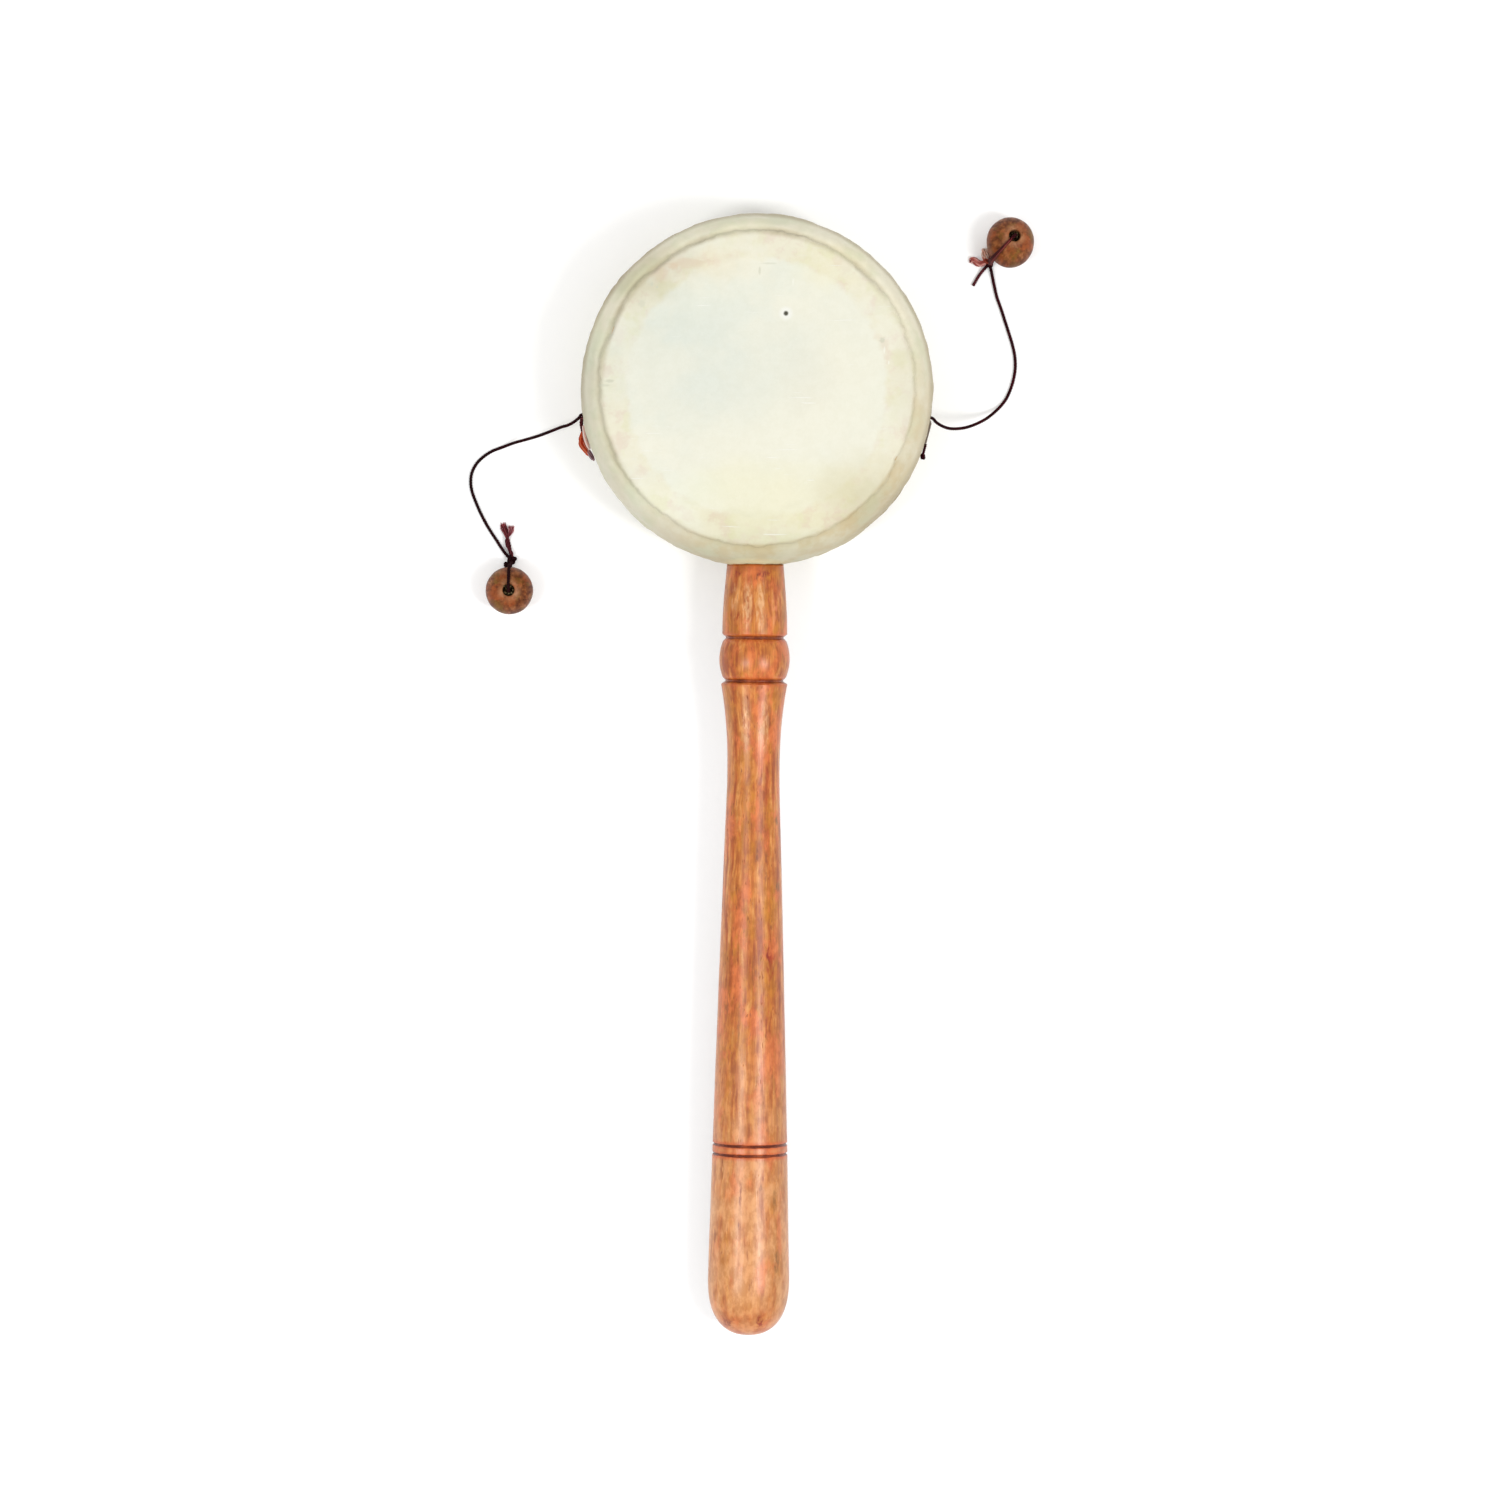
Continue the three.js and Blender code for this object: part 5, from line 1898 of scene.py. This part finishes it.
class LeftString(BeadString):
    """The left string: a forked tail at its bead, and a frayed red end at the drum."""

    def knots(self) -> list[bpy.types.Object]:
        """One large lump and a small one below it."""
        large = self.knot + Vector((0.35, 0.2, 0)) * MM
        small = self.knot + Vector((-1.1, -1.2, -0.3)) * MM
        return [
            self.knot_piece("knot_left", large, 0.36 * MM, (0.5, 0.3, 0.2)),
            self.knot_piece("knot_left_small", small, 0.2 * MM, (0.9, 0.2, 1.0))]

    def loose_ends(self) -> list[bpy.types.Object]:
        """The tail's second half, wound round the first and parting from it, with loose fibres."""
        second = self.from_knot(
            (0.0, 0.0, 1.3), (-0.35, 1.6, 1.3), (0.55, 3.2, 1.35), (1.2, 4.9, 0.9), (0.9, 6.3, 1.35),
            (0.2, 7.6, 0.9), (0.0, 9.3, 0.6))
        fork = self.from_knot((0.8, 5.8, 1.2), (1.3, 7.4, 1.1), (1.9, 8.8, 0.9), (2.4, 10.0, 0.8))
        rope = self.rope("tail", second, 0.48 * MM, pitch=4.2 * MM, red=True, groove=0.4)
        return [
            put("tail_left_second", rope, Slot.CORD),
            self.frayed(
                "tail_left_first_fibres", fork, FrayFinish("maroon fibres", dye=Dye.MAROON),
                Bundle(46, 0.17, (0.25, 0.42, 0.75), 0.6)),
            self.frayed(
                "tail_left_second_fibres", second[-12:], FrayFinish("pink fibres", dye=Dye.PINK),
                Bundle(30, 0.15, (0.3, 0.45, 0.7), 0.8))]

    def tied_end(self) -> list[bpy.types.Object]:
        """A dark strand from the hole that opens into a swollen red tuft with a mauve tip."""
        strand = self.side_line(
            (0.3, -4.0, 0), (0.6, 0.2, -0.2), (1.8, 0.75, -0.6), (4.0, 0.85, -0.8), (6.4, 1.1, -0.9))
        tuft = self.side_line(
            (4.2, 0.9, -0.7), (5.4, 1.4, -0.6), (6.6, 1.9, -0.5), (8.6, 1.3, -0.7), (11.4, 0.7, -0.9))
        tip = self.side_line((9.2, 1.0, -0.4), (10.6, 0.7, -0.5), (12.4, 0.4, -0.8))
        inner = self.side_line((2.8, 0.35, 0.5), (6.0, 0.55, 0.7), (9.2, 0.4, 0.3))
        return [
            put("end_left_strand", self.rope("strand", strand, 0.55 * MM, red=True), Slot.CORD),
            self.frayed(
                "end_left_tuft", tuft, FrayFinish("red fibres", dye=Dye.RED),
                Bundle(100, 0.19, (0.3, 0.66, 0.2), 0.3)),
            self.frayed(
                "end_left_tip", tip, FrayFinish("mauve fibres", dye=Dye.MAUVE),
                Bundle(30, 0.16, (0.35, 0.35, 0.2), 0.2)),
            self.frayed(
                "end_left_inner", inner, FrayFinish("rose fibres", dye=Dye.ROSE),
                Bundle(60, 0.2, (0.25, 0.3, 0.25), 0.2))]


class RightString(BeadString):
    """The right string: a curly red tail and a pale stub at its bead, and a small dark knot at the drum."""

    def knots(self) -> list[bpy.types.Object]:
        """One lump."""
        return [self.knot_piece("knot_right", self.knot, 0.32 * MM, (0.6, 0.2, 0.5))]

    def loose_ends(self) -> list[bpy.types.Object]:
        """The curly tail to the left, the short stub towards the bead and a loose strand over it."""
        curl = self.from_knot(
            (0, 0, 1.3), (-1.4, 0.15, 1.3), (-2.6, -0.3, 1.0), (-3.5, 0.1, 1.1), (-4.4, 0.9, 0.9),
            (-5.4, 0.4, 0.7))
        stub = self.from_knot((0.1, -0.1, 1.8), (-0.5, 1.1, 2.2), (-1.0, 2.1, 2.4), (-1.4, 3.0, 2.4))
        tip = self.from_knot((-0.7, 1.4, 2.7), (-1.05, 2.2, 2.9), (-1.45, 3.1, 2.9))
        above_cord = [self.bead + (point - self.bead) * 1.04 for point in self.bead_loop()[:6]]
        over_bead = smooth_line([self.knot, *above_cord], 0.3 * MM)
        return [
            put("tail_right_curl", self.rope("curl", curl, 0.42 * MM, pitch=3.4 * MM, red=True), Slot.CORD),
            self.frayed(
                "tail_right_curl_fibres", curl[3:], FrayFinish("coral fibres", dye=Dye.CORAL),
                Bundle(60, 0.17, (0.4, 0.5, 0.55), 0.6)),
            self.frayed(
                "tail_right_stub", stub, FrayFinish("brick fibres", dye=Dye.BRICK),
                Bundle(100, 0.2, (0.55, 0.8, 0.85), 0.3)),
            self.frayed(
                "tail_right_stub_tip", tip, FrayFinish("cream fibres", dye=Dye.CREAM),
                Bundle(90, 0.3, (0.5, 0.75, 0.85), 0.3)),
            self.frayed(
                "strand_over_bead", over_bead, FrayFinish("maroon fibres right", dye=Dye.DARK_MAROON),
                Bundle(60, 0.24, (0.7, 0.3, 0.1), 0.1))]

    def tied_end(self) -> list[bpy.types.Object]:
        """A thin worn strand along the side that ends in a thicker dark piece and a small knot."""
        strand = self.side_line(
            (0.3, -4.0, 0), (0.6, 0.1, -0.2), (1.8, 0.2, -0.8), (5.0, 0.15, -1.6), (7.6, 0.3, -1.2))
        end = self.side_line((6.8, 0.35, -1.3), (8.4, 0.45, -1.0), (10.2, 0.6, -0.6))
        centre = self.drum.hole(self.lay.side, self.drum.radius + 0.7 * MM, 10.2 * MM, -0.5 * MM)
        return [
            self.frayed(
                "end_right_strand", strand, FrayFinish("worn fibres", dye=Dye.WORN),
                Bundle(16, 0.15, (0.15, 0.18, 0.25), 0.1)),
            put("end_right_tail", self.rope("tail", end, 0.42 * MM, pitch=1.8 * MM), Slot.CORD),
            self.knot_piece("end_right_knot", centre, 0.2 * MM, (0.2, 1.5, 0.4))]


@dataclass(frozen=True)
class Lamp:
    """A soft rectangular light, aimed at the object. Its power is in watts."""

    name: str
    place: tuple[float, float, float]
    size: tuple[float, float]
    power: float

    def build(self) -> None:
        """Makes the light."""
        data = bpy.data.lights.new(self.name, "AREA")
        data.shape = "RECTANGLE"
        data.size, data.size_y = self.size
        data.energy = self.power
        light = in_scene(self.name, data)
        light.location = self.place
        light.rotation_euler = (-Vector(self.place)).to_track_quat("-Z", "Y").to_euler()


@dataclass
class Studio:
    """The floor, the lights and the camera."""

    camera_place: tuple[float, float, float] = (-0.97 * MM, 7.13 * MM, 1516 * MM)
    camera_roll: float = math.radians(0.545)
    view_width: float = 407.55 * MM
    view_distance: float = 1500 * MM
    sensor: float = 36.0
    floor_size: float = 6.0
    floor_tone: float = 0.94
    sky: float = 0.85
    lamps: tuple[Lamp, ...] = (
        Lamp("key", (0.86, -0.32, 1.4), (0.35, 0.6), 13.4),
        Lamp("fill", (-0.8, -0.32, 1.45), (0.3, 0.6), 8.9))

    def build(self) -> None:
        """Makes the camera, the floor, the lights and the sky."""
        self.make_camera()
        self.make_floor()
        for lamp in self.lamps:
            lamp.build()
        scene = bpy.context.scene
        scene.world = bpy.data.worlds.new("studio")
        scene.world.use_nodes = True
        background = next(n for n in scene.world.node_tree.nodes if n.type == "BACKGROUND")
        background.inputs["Color"].default_value = (1.0, 1.0, 1.0, 1.0)
        background.inputs["Strength"].default_value = self.sky
        scene.view_settings.view_transform = "Standard"
        scene.view_settings.look = "None"

    def make_camera(self) -> None:
        """The camera straight above, with a long lens and a small roll."""
        data = bpy.data.cameras.new("camera")
        data.sensor_width = self.sensor
        data.lens = self.sensor * self.view_distance / self.view_width
        camera = in_scene("camera", data)
        camera.location = self.camera_place
        camera.rotation_euler = (0, 0, self.camera_roll)
        bpy.context.scene.camera = camera

    def make_floor(self) -> None:
        """A large plain floor."""
        half = self.floor_size / 2
        corners = [(-half, -half, 0), (half, -half, 0), (half, half, 0), (-half, half, 0)]
        mesh = bpy.data.meshes.new("floor")
        mesh.from_pydata(corners, [], [(0, 1, 2, 3)])
        material, shader = plain_material("floor", 0.9, 0.1)
        shader.inputs["Base Color"].default_value = (*[self.floor_tone] * 3, 1.0)
        mesh.materials.append(material)
        in_scene("floor", mesh)


def main() -> None:
    """Builds everything: the studio, the strings, then the drum and its handle."""
    logging.basicConfig(level=logging.INFO, format="%(name)s: %(message)s")
    Studio().build()
    drum = Drum(Pose.of_record(frame["record"]))
    for string in (LeftString(drum, LEFT_LAY), RightString(drum, RIGHT_LAY)):
        string.build()
    drum.build()
    Handle(drum).build()


if __name__ == "__main__":
    main()
